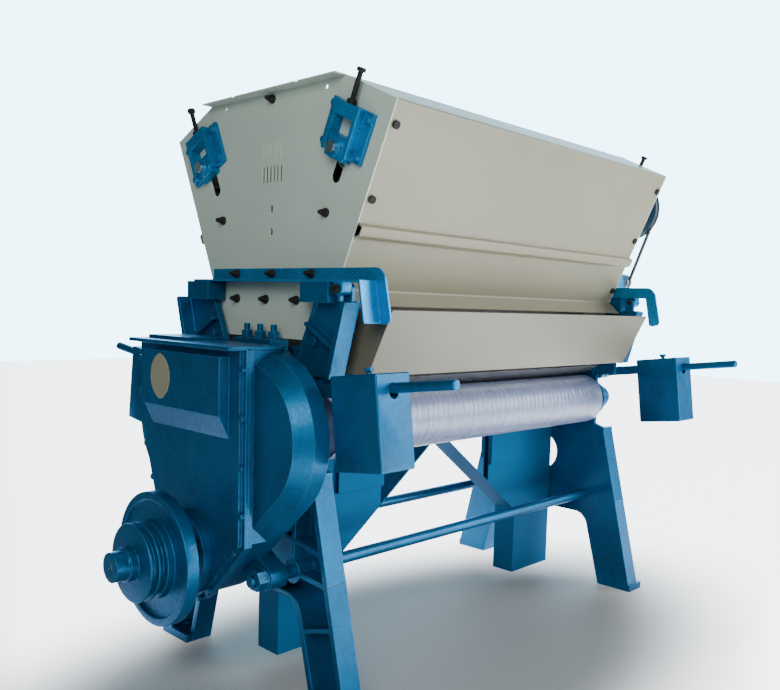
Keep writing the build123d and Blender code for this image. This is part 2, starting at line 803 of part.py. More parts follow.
# ---------------------------------------------------------------- bearing hangers
lever_toe = 44.0
hanger_y = lever_y - lever_toe
with BuildPart() as bearing_hangers:
    for end in (-1, 1):
        for side in (-1, 1):
            near_x = end * (web_outer + 2)
            span = sorted((near_x, near_x + end * 14))
            bar_x(span[0], span[1], side * roller_y, roller_z, 62 + 13)
            block(
                span,
                sorted((side * (hanger_y - 16), side * (hanger_y + 16))),
                (roller_z + 60, lever_z + 14),
            )
    for end in (-1, 1):
        for side in (-1, 1):
            near_x = end * (web_outer + 1)
            span = sorted((near_x, near_x + end * 20))
            bar_x(span[0], span[1], side * roller_y, roller_z, 62, Mode.SUBTRACT)
            block(
                span,
                sorted((side * (hanger_y - 8), side * (hanger_y + 8))),
                (lever_z - 24, lever_z + 6),
                Mode.SUBTRACT,
            )
            bar_x(span[0], span[1], side * lever_y, lever_z, 26 + 2, Mode.SUBTRACT)
write("bearing_hangers", bearing_hangers.part)

# ---------------------------------------------------------------- lint hoods
hood_back_high = (300.0, hood_top_z)
hood_back_low = (258.0, 918.0)
with BuildPart() as lint_hoods:
    for side in (-1, 1):
        outline = [
            (side * hood_back_high[0], hood_top_z - sheet_thickness),
            (side * hood_back_high[0], hood_top_z),
            (side * hood_top_y, hood_top_z),
            (side * hood_low_y, hood_low_z),
            (side * (hood_low_y - 5), hood_low_z),
            (side * (hood_top_y - 7), hood_top_z - sheet_thickness),
        ]
        plate_x(-hood_half, hood_half, outline)
        for end in (-1, 1):
            cheek = [
                (side * hood_back_high[0], hood_top_z),
                (side * hood_top_y, hood_top_z),
                (side * hood_low_y, hood_low_z),
                (side * hood_back_low[0], hood_back_low[1]),
            ]
            plate_x(end * (hood_half - sheet_thickness), end * hood_half, cheek)
            for y, z in ((304, 1071), (272, 980)):
                block(
                    sorted((end * (hood_half - 2), end * web_outer)),
                    sorted((side * (y - 4), side * y)),
                    (z - 12, z + 12),
                )
            block(
                sorted((end * (hood_half - 2), end * frame_inner)),
                sorted((side * 284, side * 290)),
                (905, 932),
            )
write("lint_hoods", lint_hoods.part)

with BuildPart() as hood_wing_nuts:
    for end in (-1, 1):
        for side in (-1, 1):
            for y, z in ((304, 1071), (272, 980)):
                nut_x = end * (hood_half + 18)
                with Locations((nut_x, side * (y + 5), z)):
                    Cylinder(8, 10, rotation=(90, 0, 0))
                with Locations((nut_x, side * (y + 8), z)):
                    Box(32, 4, 10)
write("hood_wing_nuts", hood_wing_nuts.part)

# ---------------------------------------------------------------- drive shaft, pulley
flywheel_front_x = cover_x - 110
pulley_front_x = flywheel_front_x - 59
nose_x = pulley_front_x - 57
with BuildPart() as drive_shaft:
    bar_x(case_inner_x - 2, case_inner_x - 20, 0, drive_z, 20)
    bar_x(case_inner_x - 20, nose_x + 4, 0, drive_z, drive_radius)
    drive_direction = math.degrees(math.atan2(drive_z - counter_z, -counter_y))
    counter_direction = math.degrees(
        math.atan2(counter_z - roller_z, counter_y + roller_y)
    )
    bull_tooth = drive_direction
    drive_tooth = meshed_tooth(bull_tooth, bull_teeth, drive_teeth, drive_direction)
    gear_x(bull_start_x, bull_end_x, 0, drive_z, bull_module, drive_teeth, drive_tooth)
    bar_x(rod_start_x, rod_end_x, 0, drive_z + eccentric_throw, eccentric_radius)
write("drive_shaft", drive_shaft.part)

with BuildPart() as drive_pulley:
    groove = 17.0
    bar_x(flywheel_front_x, flywheel_front_x + 34, 0, drive_z, flywheel_radius)
    bar_x(flywheel_front_x, flywheel_front_x + 9, 0, drive_z, flywheel_radius - 22, Mode.SUBTRACT)
    bar_x(flywheel_front_x + 34, flywheel_front_x + 26, 0, drive_z, flywheel_radius - 22, Mode.SUBTRACT)
    bar_x(flywheel_front_x + 34, flywheel_front_x + 26, 0, drive_z, 60)
    bar_x(flywheel_front_x + 9, pulley_front_x, 0, drive_z, pulley_radius)
    for groove_x in (pulley_front_x + 15, pulley_front_x + 39):
        with BuildSketch(Plane.XY) as vee:
            with BuildLine():
                Polyline(
                    (groove_x - groove / 2, pulley_radius + 1),
                    (groove_x + groove / 2, pulley_radius + 1),
                    (groove_x + groove / 3, pulley_radius - 15),
                    (groove_x - groove / 3, pulley_radius - 15),
                    close=True,
                )
            make_face()
        turned = revolve(vee.sketch, axis=Axis.X, mode=Mode.PRIVATE)
        add(turned.moved(Location((0, 0, drive_z))), mode=Mode.SUBTRACT)
    bar_x(pulley_front_x, pulley_front_x - 22, 0, drive_z, 46)
    bar_x(pulley_front_x - 22, nose_x, 0, drive_z, 40)
    for turn in (70, 250):
        bar_x(
            pulley_front_x, pulley_front_x + 25,
            66 * math.cos(math.radians(turn)), drive_z + 66 * math.sin(math.radians(turn)),
            5, Mode.SUBTRACT,
        )
    bar_x(flywheel_front_x + 34, nose_x + 4, 0, drive_z, drive_radius, Mode.SUBTRACT)
    bar_x(nose_x + 4, nose_x, 0, drive_z, 9, Mode.SUBTRACT)
write("drive_pulley", drive_pulley.part)

# ---------------------------------------------------------------- countershaft and bull gear
front_tooth = counter_direction
pinion_tooth = meshed_tooth(front_tooth, roller_teeth, pinion_teeth, counter_direction)
back_tooth = meshed_tooth(front_tooth, roller_teeth, roller_teeth, 0)
with BuildPart() as countershaft:
    bar_x(case_inner_x - 1, cover_x + case_wall + 1, counter_y, counter_z, 18)
    bar_x(gear_start_x, bull_end_x, counter_y, counter_z, 22)
    gear_x(gear_start_x, gear_end_x, counter_y, counter_z, gear_module, pinion_teeth, pinion_tooth)
write("countershaft", countershaft.part)

with BuildPart() as bull_gear:
    gear_x(bull_start_x, bull_end_x, counter_y, counter_z, bull_module, bull_teeth, bull_tooth)
    for face_x, back_x in ((bull_start_x, bull_start_x - 10), (bull_end_x, bull_end_x + 10)):
        bar_x(face_x, back_x, counter_y, counter_z, 82, Mode.SUBTRACT)
        bar_x(face_x, back_x, counter_y, counter_z, 38)
    bar_x(bull_start_x, bull_end_x, counter_y, counter_z, 22, Mode.SUBTRACT)
write("bull_gear", bull_gear.part)

# ---------------------------------------------------------------- rollers
for name, side, tooth in (("front", -1, front_tooth), ("back", 1, back_tooth)):
    centre_y = side * roller_y
    with BuildPart() as roller_shaft:
        bar_x(gear_end_x - 3, frame_outer + 22, centre_y, roller_z, roller_shaft_radius)
    write(f"{name}_roller_shaft", roller_shaft.part)
    with BuildPart() as roller_cover:
        bar_x(-roller_half, roller_half, centre_y, roller_z, roller_radius)
        ends = roller_cover.edges().filter_by(GeomType.CIRCLE)
        fillet(ends, 12)
        bar_x(-roller_half, roller_half, centre_y, roller_z, roller_shaft_radius, Mode.SUBTRACT)
    write(f"{name}_roller_cover", roller_cover.part)
    with BuildPart() as roller_gear:
        gear_x(gear_start_x, gear_end_x, centre_y, roller_z, gear_module, roller_teeth, tooth)
        for face_x, back_x in ((gear_start_x, gear_start_x - 8), (gear_end_x, gear_end_x + 8)):
            bar_x(face_x, back_x, centre_y, roller_z, 172, Mode.SUBTRACT)
            bar_x(face_x, back_x, centre_y, roller_z, 52)
        for turn in range(0, 360, 60):
            hole_y = centre_y + 112 * math.cos(math.radians(turn))
            hole_z = roller_z + 112 * math.sin(math.radians(turn))
            bar_x(gear_start_x, gear_end_x, hole_y, hole_z, 34, Mode.SUBTRACT)
        bar_x(gear_start_x, gear_end_x, centre_y, roller_z, roller_shaft_radius, Mode.SUBTRACT)
    write(f"{name}_roller_gear", roller_gear.part)

# ---------------------------------------------------------------- beater
with BuildPart() as beater_shaft:
    bar_x(rod_end_x - 2, frame_outer - 6, 0, beater_z, beater_shaft_radius)
write("beater_shaft", beater_shaft.part)

beater_half = roller_half - 6
spider_step = 2 * (beater_half - 60) / 4
with BuildPart() as beater_blades:
    for side in (-1, 1):
        tip = (side * blade_reach, beater_z - blade_drop)
        root = (side * 48, beater_z - 62)
        strip_x(-beater_half, beater_half, root, tip, 8)
    plate_x(
        -beater_half, beater_half,
        [(-54, beater_z - 66), (54, beater_z - 66), (54, beater_z - 56), (-54, beater_z - 56)],
    )
    for step in range(5):
        spider_x = -beater_half + 60 + step * spider_step
        bar_x(spider_x - 25, spider_x + 25, 0, beater_z, 40)
        block((spider_x - 12, spider_x + 12), (-30, 30), (beater_z - 60, beater_z))
    bar_x(-beater_half, beater_half, 0, beater_z, beater_shaft_radius, Mode.SUBTRACT)
write("beater_blades", beater_blades.part)

wrist_radius = 12.0
with BuildPart() as beater_arm_piece:
    hull_x(bull_end_x, rod_start_x + 1, [(0, beater_z, 34), (beater_arm, beater_z, 20)])
    bar_x(rod_start_x + 1, rod_end_x - 2, beater_arm, beater_z, wrist_radius)
    bar_x(bull_end_x, rod_start_x + 1, 0, beater_z, beater_shaft_radius, Mode.SUBTRACT)
write("beater_arm", beater_arm_piece.part)

strap_radius = eccentric_radius + 2 * eccentric_throw + 4
with BuildPart() as connecting_rod:
    bar_x(rod_start_x, rod_end_x, beater_arm, beater_z, 24)
    bar_x(rod_start_x, rod_end_x, 0, drive_z, strap_radius + 15)
    lean = math.atan2(beater_arm, beater_z - drive_z)
    reach = strap_radius + 8
    strip_x(
        rod_start_x - 3, rod_end_x + 3,
        (reach * math.sin(lean), drive_z + reach * math.cos(lean)),
        (beater_arm - 18 * math.sin(lean), beater_z - 18 * math.cos(lean)),
        30,
    )
    bar_x(rod_start_x, rod_end_x, 0, drive_z, strap_radius, Mode.SUBTRACT)
    bar_x(rod_start_x, rod_end_x, beater_arm, beater_z, wrist_radius + running_fit, Mode.SUBTRACT)
write("connecting_rod", connecting_rod.part)

# ---------------------------------------------------------------- levers and weights
tilt_cos = math.cos(math.radians(lever_tilt))
tilt_sin = math.sin(math.radians(lever_tilt))
for end_name, end in (("near", -1), ("far", 1)):
    for side_name, side in (("front", -1), ("back", 1)):
        lever_plane = Plane(
            origin=(end * lever_x, side * lever_y, lever_z),
            x_dir=(0, side * tilt_cos, tilt_sin),
            z_dir=(side, 0, 0),
        )
        with BuildPart() as lever:
            with BuildSketch(lever_plane):
                Circle(24)
                with Locations((90, 0)):
                    Rectangle(122, 34)
                with Locations((-26, 0)):
                    Rectangle(52, 14)
            extrude(amount=15, both=True)
            with BuildSketch(Plane(lever_plane.origin, x_dir=(1, 0, 0), z_dir=lever_plane.x_dir)):
                Circle(lever_radius)
            extrude(amount=lever_length)
            chamfer(lever.faces().sort_by(Axis((0, 0, 0), (0, side, 0)))[-1].edges(), 3)
            bar_x(end * frame_inner, end * lever_x, side * lever_y, lever_z, lever_pin_radius)
            toe_y = side * (lever_y - lever_toe * tilt_cos)
            bar_x(end * (web_outer + 3), end * lever_x, toe_y, lever_z - lever_toe * tilt_sin, 6)
        write(f"{end_name}_{side_name}_lever", lever.part)

        with BuildPart() as weight:
            with BuildSketch(lever_plane):
                with Locations((weight_start + weight_length / 2, weight_top - weight_height / 2)):
                    Rectangle(weight_length, weight_height)
            extrude(amount=weight_width / 2, both=True)
            fillet(weight.edges(), 5)
            across = Plane(
                lever_plane.origin + lever_plane.x_dir * weight_start,
                x_dir=lever_plane.z_dir,
                z_dir=-lever_plane.x_dir,
            )
            slot_height = 2 * lever_radius + 14
            slot_width = 2 * lever_radius + 4
            with BuildSketch(across):
                with Locations((0, -(slot_height / 2 - lever_radius - seat_gap))):
                    SlotOverall(slot_height, slot_width, rotation=90)
            extrude(amount=-weight_length, mode=Mode.SUBTRACT)
            top_middle = (
                lever_plane.origin
                + lever_plane.x_dir * (weight_start + weight_length / 2)
                + lever_plane.y_dir * (lever_radius + seat_gap)
            )
            with BuildSketch(Plane(top_middle, x_dir=(1, 0, 0), z_dir=lever_plane.y_dir)):
                Circle(7)
            extrude(amount=weight_top - lever_radius + 8)
            with BuildSketch(
                Plane(
                    top_middle + lever_plane.y_dir * (weight_top - lever_radius + 6),
                    x_dir=(1, 0, 0),
                    z_dir=lever_plane.y_dir,
                )
            ):
                RegularPolygon(13, 6)
            extrude(amount=10)
        write(f"{end_name}_{side_name}_weight", weight.part)

# ---------------------------------------------------------------- hopper ends
up_y = apron_up_y
up_z = apron_up_z


def along_apron(side, distance):
    """A (y, z) point on the line of the apron shafts, measured upwards from the upper one."""
    return (side * (apron_y + distance * up_y), apron_z + distance * up_z)


def panel_y(z):
    """How far the sloping panels are from the middle at a height."""
    return hopper_low_y + panel_slope * (z - hopper_low_z)


slot_down = 74.0
slot_up = 8.0
for end_name, end in (("near", -1), ("far", 1)):
    outer = end * hopper_half
    inner = end * (hopper_half - sheet_thickness)
    with BuildPart() as hopper_end:
        half = [
            (hopper_low_y, hopper_low_z),
            (hopper_wide_y, hopper_wide_z),
            (hopper_top_y, hopper_top_z),
        ]
        plate_x(inner, outer, half + [(-y, z) for y, z in reversed(half)])
        block(
            sorted((inner, end * (hopper_half + 36))),
            (-hopper_top_y, hopper_top_y),
            (hopper_top_z - sheet_thickness, hopper_top_z),
        )
        for notch_y in (-150, 150):
            with Locations((end * (hopper_half + 36), notch_y, hopper_top_z)):
                Cylinder(7, 20, mode=Mode.SUBTRACT)
        for side in (-1, 1):
            low = along_apron(side, -slot_down)
            high = along_apron(side, slot_up)
            strip_x(inner, outer, low, high, 2 * apron_shaft_radius + 4, Mode.SUBTRACT)
            bar_x(inner, outer, *low, apron_shaft_radius + 2, Mode.SUBTRACT)
            bar_x(inner, outer, *high, apron_shaft_radius + 2, Mode.SUBTRACT)
            bar_x(inner, outer, side * 238, hopper_top_z - 22, 6, Mode.SUBTRACT)
        for z in (1374, 1308):
            with BuildSketch(Plane.YZ.offset(min(inner, outer))) as hole:
                with Locations((0, z)):
                    SlotOverall(22, 11, rotation=90)
                with Locations((-46, z), (46, z)):
                    Circle(2.5)
            extrude(hole.sketch, amount=sheet_thickness, mode=Mode.SUBTRACT)
        for count, z, tall, wide in ((7, 1545, 46, 4), (6, 1474, 46, 9)):
            for step in range(count):
                y = (step - (count - 1) / 2) * (100 / count)
                block(
                    sorted((inner, outer)), (y - wide / 2, y + wide / 2),
                    (z - tall / 2, z + tall / 2), Mode.SUBTRACT,
                )
    write(f"{end_name}_hopper_end", hopper_end.part)

# ---------------------------------------------------------------- hopper side panels
panel_half = hopper_half - sheet_thickness
lip_out = 47.0
lip_drop = 39.0
hopper_panel_low_z = 1143.0
side_low_y = panel_y(hopper_panel_low_z)
side_points = [
    (side_low_y + lip_out, hopper_panel_low_z - lip_drop),
    (side_low_y, hopper_panel_low_z),
    (panel_y(rib_z - 18), rib_z - 18),
    (panel_y(rib_z - 18) + 22, rib_z - 14),
    (panel_y(rib_z + 12) + 22, rib_z + 12),
    (panel_y(rib_z + 22), rib_z + 22),
    (hopper_wide_y, hopper_wide_z),
    (hopper_top_y, hopper_top_z),
]
with BuildPart() as hopper_side_panels:
    sheet_x(-panel_half, panel_half, side_points)
mirrored_panel = mirror(hopper_side_panels.part, about=Plane.XZ)
both_panels = Compound(children=[hopper_side_panels.part.solid(), mirrored_panel.solid()])
write("hopper_side_panels", both_panels)

# ---------------------------------------------------------------- tilting rails
bend_y = 436.0
tip_z = 1056.0
with BuildPart() as tilt_rails:
    for end in (-1, 1):
        inner = end * hopper_half
        plate_end = end * (hopper_half + 6)
        outer = end * (hopper_half + rail_width)
        top_z = rail_z + rail_height
        block(sorted((inner, plate_end)), (-bend_y, 290), (rail_z, top_z))
        block(sorted((inner, outer)), (-bend_y - 19, 314), (rail_z, rail_z + 6))
        with BuildSketch(Plane.YZ.offset(min(inner, plate_end))) as bend:
            with BuildLine():
                Polyline(
                    (-bend_y, rail_z),
                    (-bend_y, top_z),
                    (-bend_y - 30, top_z),
                    (-bend_y - 52, top_z - 22),
                    (-bend_y - 78, tip_z + 8),
                    (-bend_y - 36, tip_z - 4),
                    (-bend_y - 14, rail_z),
                    close=True,
                )
            make_face()
            outside = [v for v in bend.vertices() if v.Y > top_z - 30 and v.X < -bend_y - 10]
            fillet(outside, 30)
            tips = [v for v in bend.vertices() if v.Y < tip_z + 20]
            fillet(tips, 14)
        extrude(bend.sketch, amount=6)
        strip_x(inner, outer, (-bend_y - 16, rail_z + 3), (-bend_y - 37, tip_z + 2), 6)
        bar_x(
            end * (web_outer + bracket_web + 2), end * (frame_outer - 6),
            -tilt_pin_y, tilt_pin_z, tilt_lug_radius,
        )
        block(
            sorted((end * (web_outer + bracket_web + 2), outer)),
            (-tilt_pin_y - tilt_lug_radius, -tilt_pin_y + tilt_lug_radius),
            (tilt_pin_z, rail_z + 3),
        )
        bar_x(
            end * (web_outer + bracket_web + 2), end * (frame_outer - 6),
            -tilt_pin_y, tilt_pin_z, tilt_pin_radius + running_fit, Mode.SUBTRACT,
        )
write("tilt_rails", tilt_rails.part)

# ---------------------------------------------------------------- hopper bolts
with BuildPart() as hopper_bolts:
    for end in (-1, 1):
        face = end * hopper_half
        rail_face = end * (hopper_half + 6)
        plain = [(0, 1686), (-246, 1351), (246, 1351), (-125, 1112), (20, 1112), (166, 1112)]
        seats = [(face, y, z) for y, z in plain]
        seats += [(rail_face, y, rail_z + 25) for y in (-197, -18, 159)]
        for x, y, z in seats:
            bar_x(x, x + end * 5, y, z, 13)
            cone_x(x + end * 5, x + end * 27, y, z, 12, 5)

with hopper_bolts:
    normal_y = apron_up_z
    normal_z = -apron_up_y
    for end in (-1, 1):
        for side in (-1, 1):
            for z in (1561, 1380, 1190):
                foot = (end * (panel_half - 18), side * panel_y(z), z)
                with Locations(Plane(foot, x_dir=(1, 0, 0), z_dir=(0, side * normal_y, normal_z))):
                    Cylinder(11, 7, align=(Align.CENTER, Align.CENTER, Align.MIN))
write("hopper_bolts", hopper_bolts.part)

# ---------------------------------------------------------------- take-up units
unit_width = 172.0
unit_height = 134.0
unit_rise = 50.0
window_width = 78.0
window_drop = 36.0
block_width = window_width - 2 * seat_gap
take_up_travel = 20.0
with BuildPart() as take_up_frames:
    for end in (-1, 1):
        for side in (-1, 1):
            base = end * hopper_half
            centre = along_apron(side, unit_rise)
            tilt = math.degrees(math.atan2(up_z, side * up_y)) - 90
            with BuildSketch(Plane.YZ.offset(min(base, base + end * 12))) as foot:
                with Locations(Location((centre[0], centre[1]), tilt)):
                    Rectangle(unit_width, unit_height)
                    with Locations((0, -window_drop)):
                        Rectangle(window_width, unit_height, mode=Mode.SUBTRACT)
            extrude(foot.sketch, amount=12)
            with BuildSketch(Plane.YZ.offset(min(base, base + end * 36))) as wall:
                with Locations(Location((centre[0], centre[1]), tilt)):
                    Rectangle(window_width + 26, unit_height)
                    with Locations((0, -window_drop)):
                        Rectangle(window_width, unit_height, mode=Mode.SUBTRACT)
            extrude(wall.sketch, amount=36)
            for across in (-72, 72):
                for along in (-50, 50):
                    spin = math.radians(tilt)
                    bolt_y = centre[0] + across * math.cos(spin) - along * math.sin(spin)
                    bolt_z = centre[1] + across * math.sin(spin) + along * math.cos(spin)
                    hex_x(base + end * 12, base + end * 22, bolt_y, bolt_z, 19)

screw_radius = 7.0
screw_low = 36.0
screw_top = 200.0


def axis_plane(end, side, distance):
    """A plane across a take-up screw, at a distance above the apron shaft."""
    y, z = along_apron(side, distance)
    return Plane(
        (end * (hopper_half + 22), y, z), x_dir=(1, 0, 0), z_dir=(0, side * up_y, up_z)
    )


write("take_up_frames", take_up_frames.part)

with BuildPart() as take_up_screws:
    for end in (-1, 1):
        for side in (-1, 1):
            top_of_frame = unit_rise + unit_height / 2
            with Locations(axis_plane(end, side, top_of_frame)):
                Cylinder(13, 12, align=(Align.CENTER, Align.CENTER, Align.MIN))
                Cylinder(screw_radius, screw_top - top_of_frame, align=(Align.CENTER, Align.CENTER, Align.MIN))
            with Locations(axis_plane(end, side, screw_top)):
                Cylinder(12, 10, align=(Align.CENTER, Align.CENTER, Align.MIN))
write("take_up_screws", take_up_screws.part)

drum_half = hopper_half - 22
drum_wall = 5.0


def drum_x(y, z):
    """A hollow drum along X with a holed disc near each end."""
    bar_x(-drum_half, drum_half, y, z, apron_roll_radius)
    bar_x(-drum_half, drum_half, y, z, apron_roll_radius - drum_wall, Mode.SUBTRACT)
    for end in (-1, 1):
        disc_x = end * (drum_half - 30)
        bar_x(disc_x - 5, disc_x + 5, y, z, apron_roll_radius - 1)
        for turn in range(0, 360, 120):
            hole_y = y + 34 * math.cos(math.radians(turn))
            hole_z = z + 34 * math.sin(math.radians(turn))
            bar_x(disc_x - 6, disc_x + 6, hole_y, hole_z, 9, Mode.SUBTRACT)


for name, side in (("front", -1), ("back", 1)):
    upper = along_apron(side, 0)
    lower = along_apron(side, -apron_run)
    with BuildPart() as take_up_blocks:
        for end in (-1, 1):
            base = end * (hopper_half + seat_gap)
            tilt = math.degrees(math.atan2(up_z, side * up_y)) - 90
            centre = along_apron(side, 2)
            with BuildSketch(Plane.YZ.offset(min(base, base + end * 30))) as body:
                with Locations(Location((centre[0], centre[1]), tilt)):
                    Rectangle(block_width, 62)
            extrude(body.sketch, amount=30)
            bar_x(base + end * 30, base + end * 40, *upper, 28)
        for end in (-1, 1):
            base = end * hopper_half
            bar_x(base, base + end * 45, *upper, apron_shaft_radius + running_fit, Mode.SUBTRACT)
    write(f"{name}_take_up_blocks", take_up_blocks.part)

    shaft_end = hopper_half + 52
    far_end = hopper_half + 128 if side < 0 else shaft_end
    with BuildPart() as top_roll:
        drum_x(*upper)
        bar_x(-shaft_end, far_end, *upper, apron_shaft_radius)
    write(f"{name}_top_roll", top_roll.part)
    feed_end = hopper_half - sheet_thickness - 1
    with BuildPart() as feed_roll:
        drum_x(*lower)
        bar_x(-feed_end, feed_end, *lower, apron_shaft_radius)
    write(f"{name}_feed_roll", feed_roll.part)

apron_inner = apron_roll_radius + seat_gap
apron_outer = apron_inner + apron_thickness
slat_count = 5
with BuildPart() as aprons:
    for side in (-1, 1):
        upper = along_apron(side, 0)
        lower = along_apron(side, -apron_run)
        half_width = hopper_half - 24
        hull_x(-half_width, half_width, [(*upper, apron_outer), (*lower, apron_outer)])
        for flank in (-1, 1):
            for step in range(slat_count):
                along = -apron_run * (step + 0.5) / slat_count
                y, z = along_apron(side, along)
                out_y = flank * (apron_outer + 4) * up_z
                out_z = -flank * side * (apron_outer + 4) * up_y
                near_end = (y + out_y - 5 * out_y / (apron_outer + 4), z + out_z - 5 * out_z / (apron_outer + 4))
                far_end = (y + out_y + 5 * out_y / (apron_outer + 4), z + out_z + 5 * out_z / (apron_outer + 4))
                strip_x(-half_width, half_width, near_end, far_end, 14)
    for side in (-1, 1):
        upper = along_apron(side, 0)
        lower = along_apron(side, -apron_run)
        hull_x(
            -half_width, half_width, [(*upper, apron_inner), (*lower, apron_inner)], mode=Mode.SUBTRACT
        )
write("aprons", aprons.part)

# ---------------------------------------------------------------- feeder bearings
with BuildPart() as feeder_bearings:
    for end in (-1, 1):
        for side in (-1, 1):
            y, z = along_apron(side, -apron_run)
            inner = end * (hopper_half - sheet_thickness)
            bar_x(inner, end * (hopper_half - 20), y, z, 42)
    face = hopper_half
    plate_x(
        face, face + 50,
        [
            (-jack_y - 34, jack_z - 24),
            (-jack_y + 34, jack_z - 24),
            (-jack_y + 30, jack_z + 14),
            (-jack_y + 8, jack_z + 44),
            (-jack_y - 8, jack_z + 44),
            (-jack_y - 30, jack_z + 14),
        ],
    )
    for end in (-1, 1):
        for side in (-1, 1):
            y, z = along_apron(side, -apron_run)
            bar_x(
                end * (hopper_half - 30), end * (hopper_half - sheet_thickness), y, z,
                apron_shaft_radius + running_fit, Mode.SUBTRACT,
            )
    bar_x(face, face + 50, -jack_y, jack_z, jack_radius + running_fit, Mode.SUBTRACT)
write("feeder_bearings", feeder_bearings.part)

# ---------------------------------------------------------------- feeder drive
belt_x = hopper_half + 100
belt_width = 17.0
pulley_width = 30.0


def vee_pulley(y, z, radius, bore):
    """A single groove pulley along X, centred on the belt."""
    bar_x(belt_x - pulley_width / 2, belt_x + pulley_width / 2, y, z, radius)
    with BuildSketch(Plane.XY) as vee:
        with BuildLine():
            Polyline(
                (belt_x - 9, radius + 1),
                (belt_x + 9, radius + 1),
                (belt_x + 6, radius - 13),
                (belt_x - 6, radius - 13),
                close=True,
            )
        make_face()
    ring = revolve(vee.sketch, axis=Axis.X, mode=Mode.PRIVATE)
    add(ring.moved(Location((0, y, z))), mode=Mode.SUBTRACT)
    bar_x(belt_x - pulley_width, belt_x + pulley_width, y, z, bore, Mode.SUBTRACT)


top_y, top_z = along_apron(-1, 0)
with BuildPart() as feeder_pulley:
    vee_pulley(top_y, top_z, feeder_pulley_radius, apron_shaft_radius)
    for turn in range(0, 360, 90):
        reach = 60
        bar_x(
            belt_x - pulley_width, belt_x + pulley_width,
            top_y + reach * math.cos(math.radians(turn + 20)),
            top_z + reach * math.sin(math.radians(turn + 20)),
            24, Mode.SUBTRACT,
        )
write("feeder_pulley", feeder_pulley.part)

with BuildPart() as feeder_jackshaft:
    bar_x(hopper_half + 1, belt_x + 22, -jack_y, jack_z, jack_radius)
    vee_pulley(-jack_y, jack_z, jack_pulley_radius, 1)
    bar_x(hopper_half + 1, belt_x + 22, -jack_y, jack_z, jack_radius)
write("feeder_jackshaft", feeder_jackshaft.part)

belt_depth = 9.0
groove_floor = 2.5
with BuildPart() as feeder_belt:
    outer_circles = [
        (top_y, top_z, feeder_pulley_radius - groove_floor),
        (-jack_y, jack_z, jack_pulley_radius - groove_floor),
    ]
    inner_circles = [
        (top_y, top_z, feeder_pulley_radius - groove_floor - belt_depth),
        (-jack_y, jack_z, jack_pulley_radius - groove_floor - belt_depth),
    ]
    hull_x(belt_x - 5, belt_x + 5, outer_circles)
    hull_x(belt_x - 5, belt_x + 5, inner_circles, mode=Mode.SUBTRACT)
write("feeder_belt", feeder_belt.part)
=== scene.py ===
import json
import math

import bmesh
import bpy
import numpy as np
from mathutils import Matrix, Vector


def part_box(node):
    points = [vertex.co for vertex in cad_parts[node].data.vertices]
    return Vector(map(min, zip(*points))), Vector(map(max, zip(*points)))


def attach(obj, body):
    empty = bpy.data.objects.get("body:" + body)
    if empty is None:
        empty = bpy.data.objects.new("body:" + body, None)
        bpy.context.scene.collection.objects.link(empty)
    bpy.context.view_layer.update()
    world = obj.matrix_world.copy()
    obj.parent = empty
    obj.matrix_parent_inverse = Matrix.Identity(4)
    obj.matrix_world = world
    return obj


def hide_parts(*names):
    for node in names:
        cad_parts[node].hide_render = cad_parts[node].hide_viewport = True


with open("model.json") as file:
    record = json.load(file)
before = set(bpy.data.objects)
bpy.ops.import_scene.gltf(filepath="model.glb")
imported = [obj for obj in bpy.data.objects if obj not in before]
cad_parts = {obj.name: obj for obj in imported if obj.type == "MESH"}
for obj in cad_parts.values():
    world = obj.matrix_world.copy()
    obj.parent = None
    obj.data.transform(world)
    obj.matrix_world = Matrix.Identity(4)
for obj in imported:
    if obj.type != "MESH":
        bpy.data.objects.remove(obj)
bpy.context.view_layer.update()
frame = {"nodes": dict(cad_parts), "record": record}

VIEW_DIRECTION = (0.742, 0.670, 0.0)
CAMERA_PLACE = (-2.185, -2.015, 1.109)
CAMERA_TURN = (47.9, -5.1, 1.84)

bl_info = {
    "name": "Roller cotton gin",
    "version": (1, 0, 0),
    "blender": (4, 5, 0),
    "location": "3D View > Sidebar > Gin",
    "description": "Finishes the roller cotton gin around its CAD frame",
    "category": "Object",
}

NODES = frame["nodes"]
BODIES = frame["record"]["behaviour"]["bodies"]
BODY_OF = {node: body for body, nodes in BODIES.items() for node in nodes}
SLOT_OF = {row["node"]: row["material_slot"] for row in frame["record"]["subparts"]}


def colour_prop(name, text, rgb):
    """A colour setting with its default."""
    return bpy.props.FloatVectorProperty(
        name=name, description=text, subtype="COLOR", size=3, min=0, max=1, default=rgb
    )


def length_prop(name, text, metres):
    """A length setting with its default in metres."""
    return bpy.props.FloatProperty(
        name=name, description=text, unit="LENGTH", min=0, precision=4, default=metres
    )


class GinFinish(bpy.types.PropertyGroup):
    """Colours and small sizes of the finish."""

    casting_blue: colour_prop("Casting blue", "Enamel on the castings", (0.001, 0.080, 0.190))
    bright_blue: colour_prop("Bright blue", "Enamel on the feeder fittings", (0.010, 0.190, 0.410))
    cream: colour_prop("Cream", "Paint on the front and back panels", (0.215, 0.204, 0.138))
    end_cream: colour_prop("End panel", "Paint on the hopper ends", (0.415, 0.495, 0.425))
    hood_cream: colour_prop("Hood", "Paint on the lint hoods", (0.146, 0.138, 0.102))
    leather: colour_prop("Roller leather", "Ground face of the rollers", (0.215, 0.285, 0.500))
    leather_dark: colour_prop("Roller streaks", "Darker streaks in the rollers", (0.135, 0.140, 0.205))
    floor: colour_prop("Floor", "Pale studio floor", (0.860, 0.815, 0.780))
    casting_edge: length_prop("Casting edge", "Radius left on the big castings' edges", 0.004)
    small_edge: length_prop("Small edge", "Radius left on small parts' edges", 0.0015)
    sheet_bend: length_prop("Sheet bend", "Outside radius of the sheet metal bends", 0.008)
    groove_pitch: length_prop("Groove pitch", "Distance between the spiral grooves of a roller", 0.0245)
    groove_depth: length_prop("Groove depth", "Depth of the spiral grooves of a roller", 0.0012)


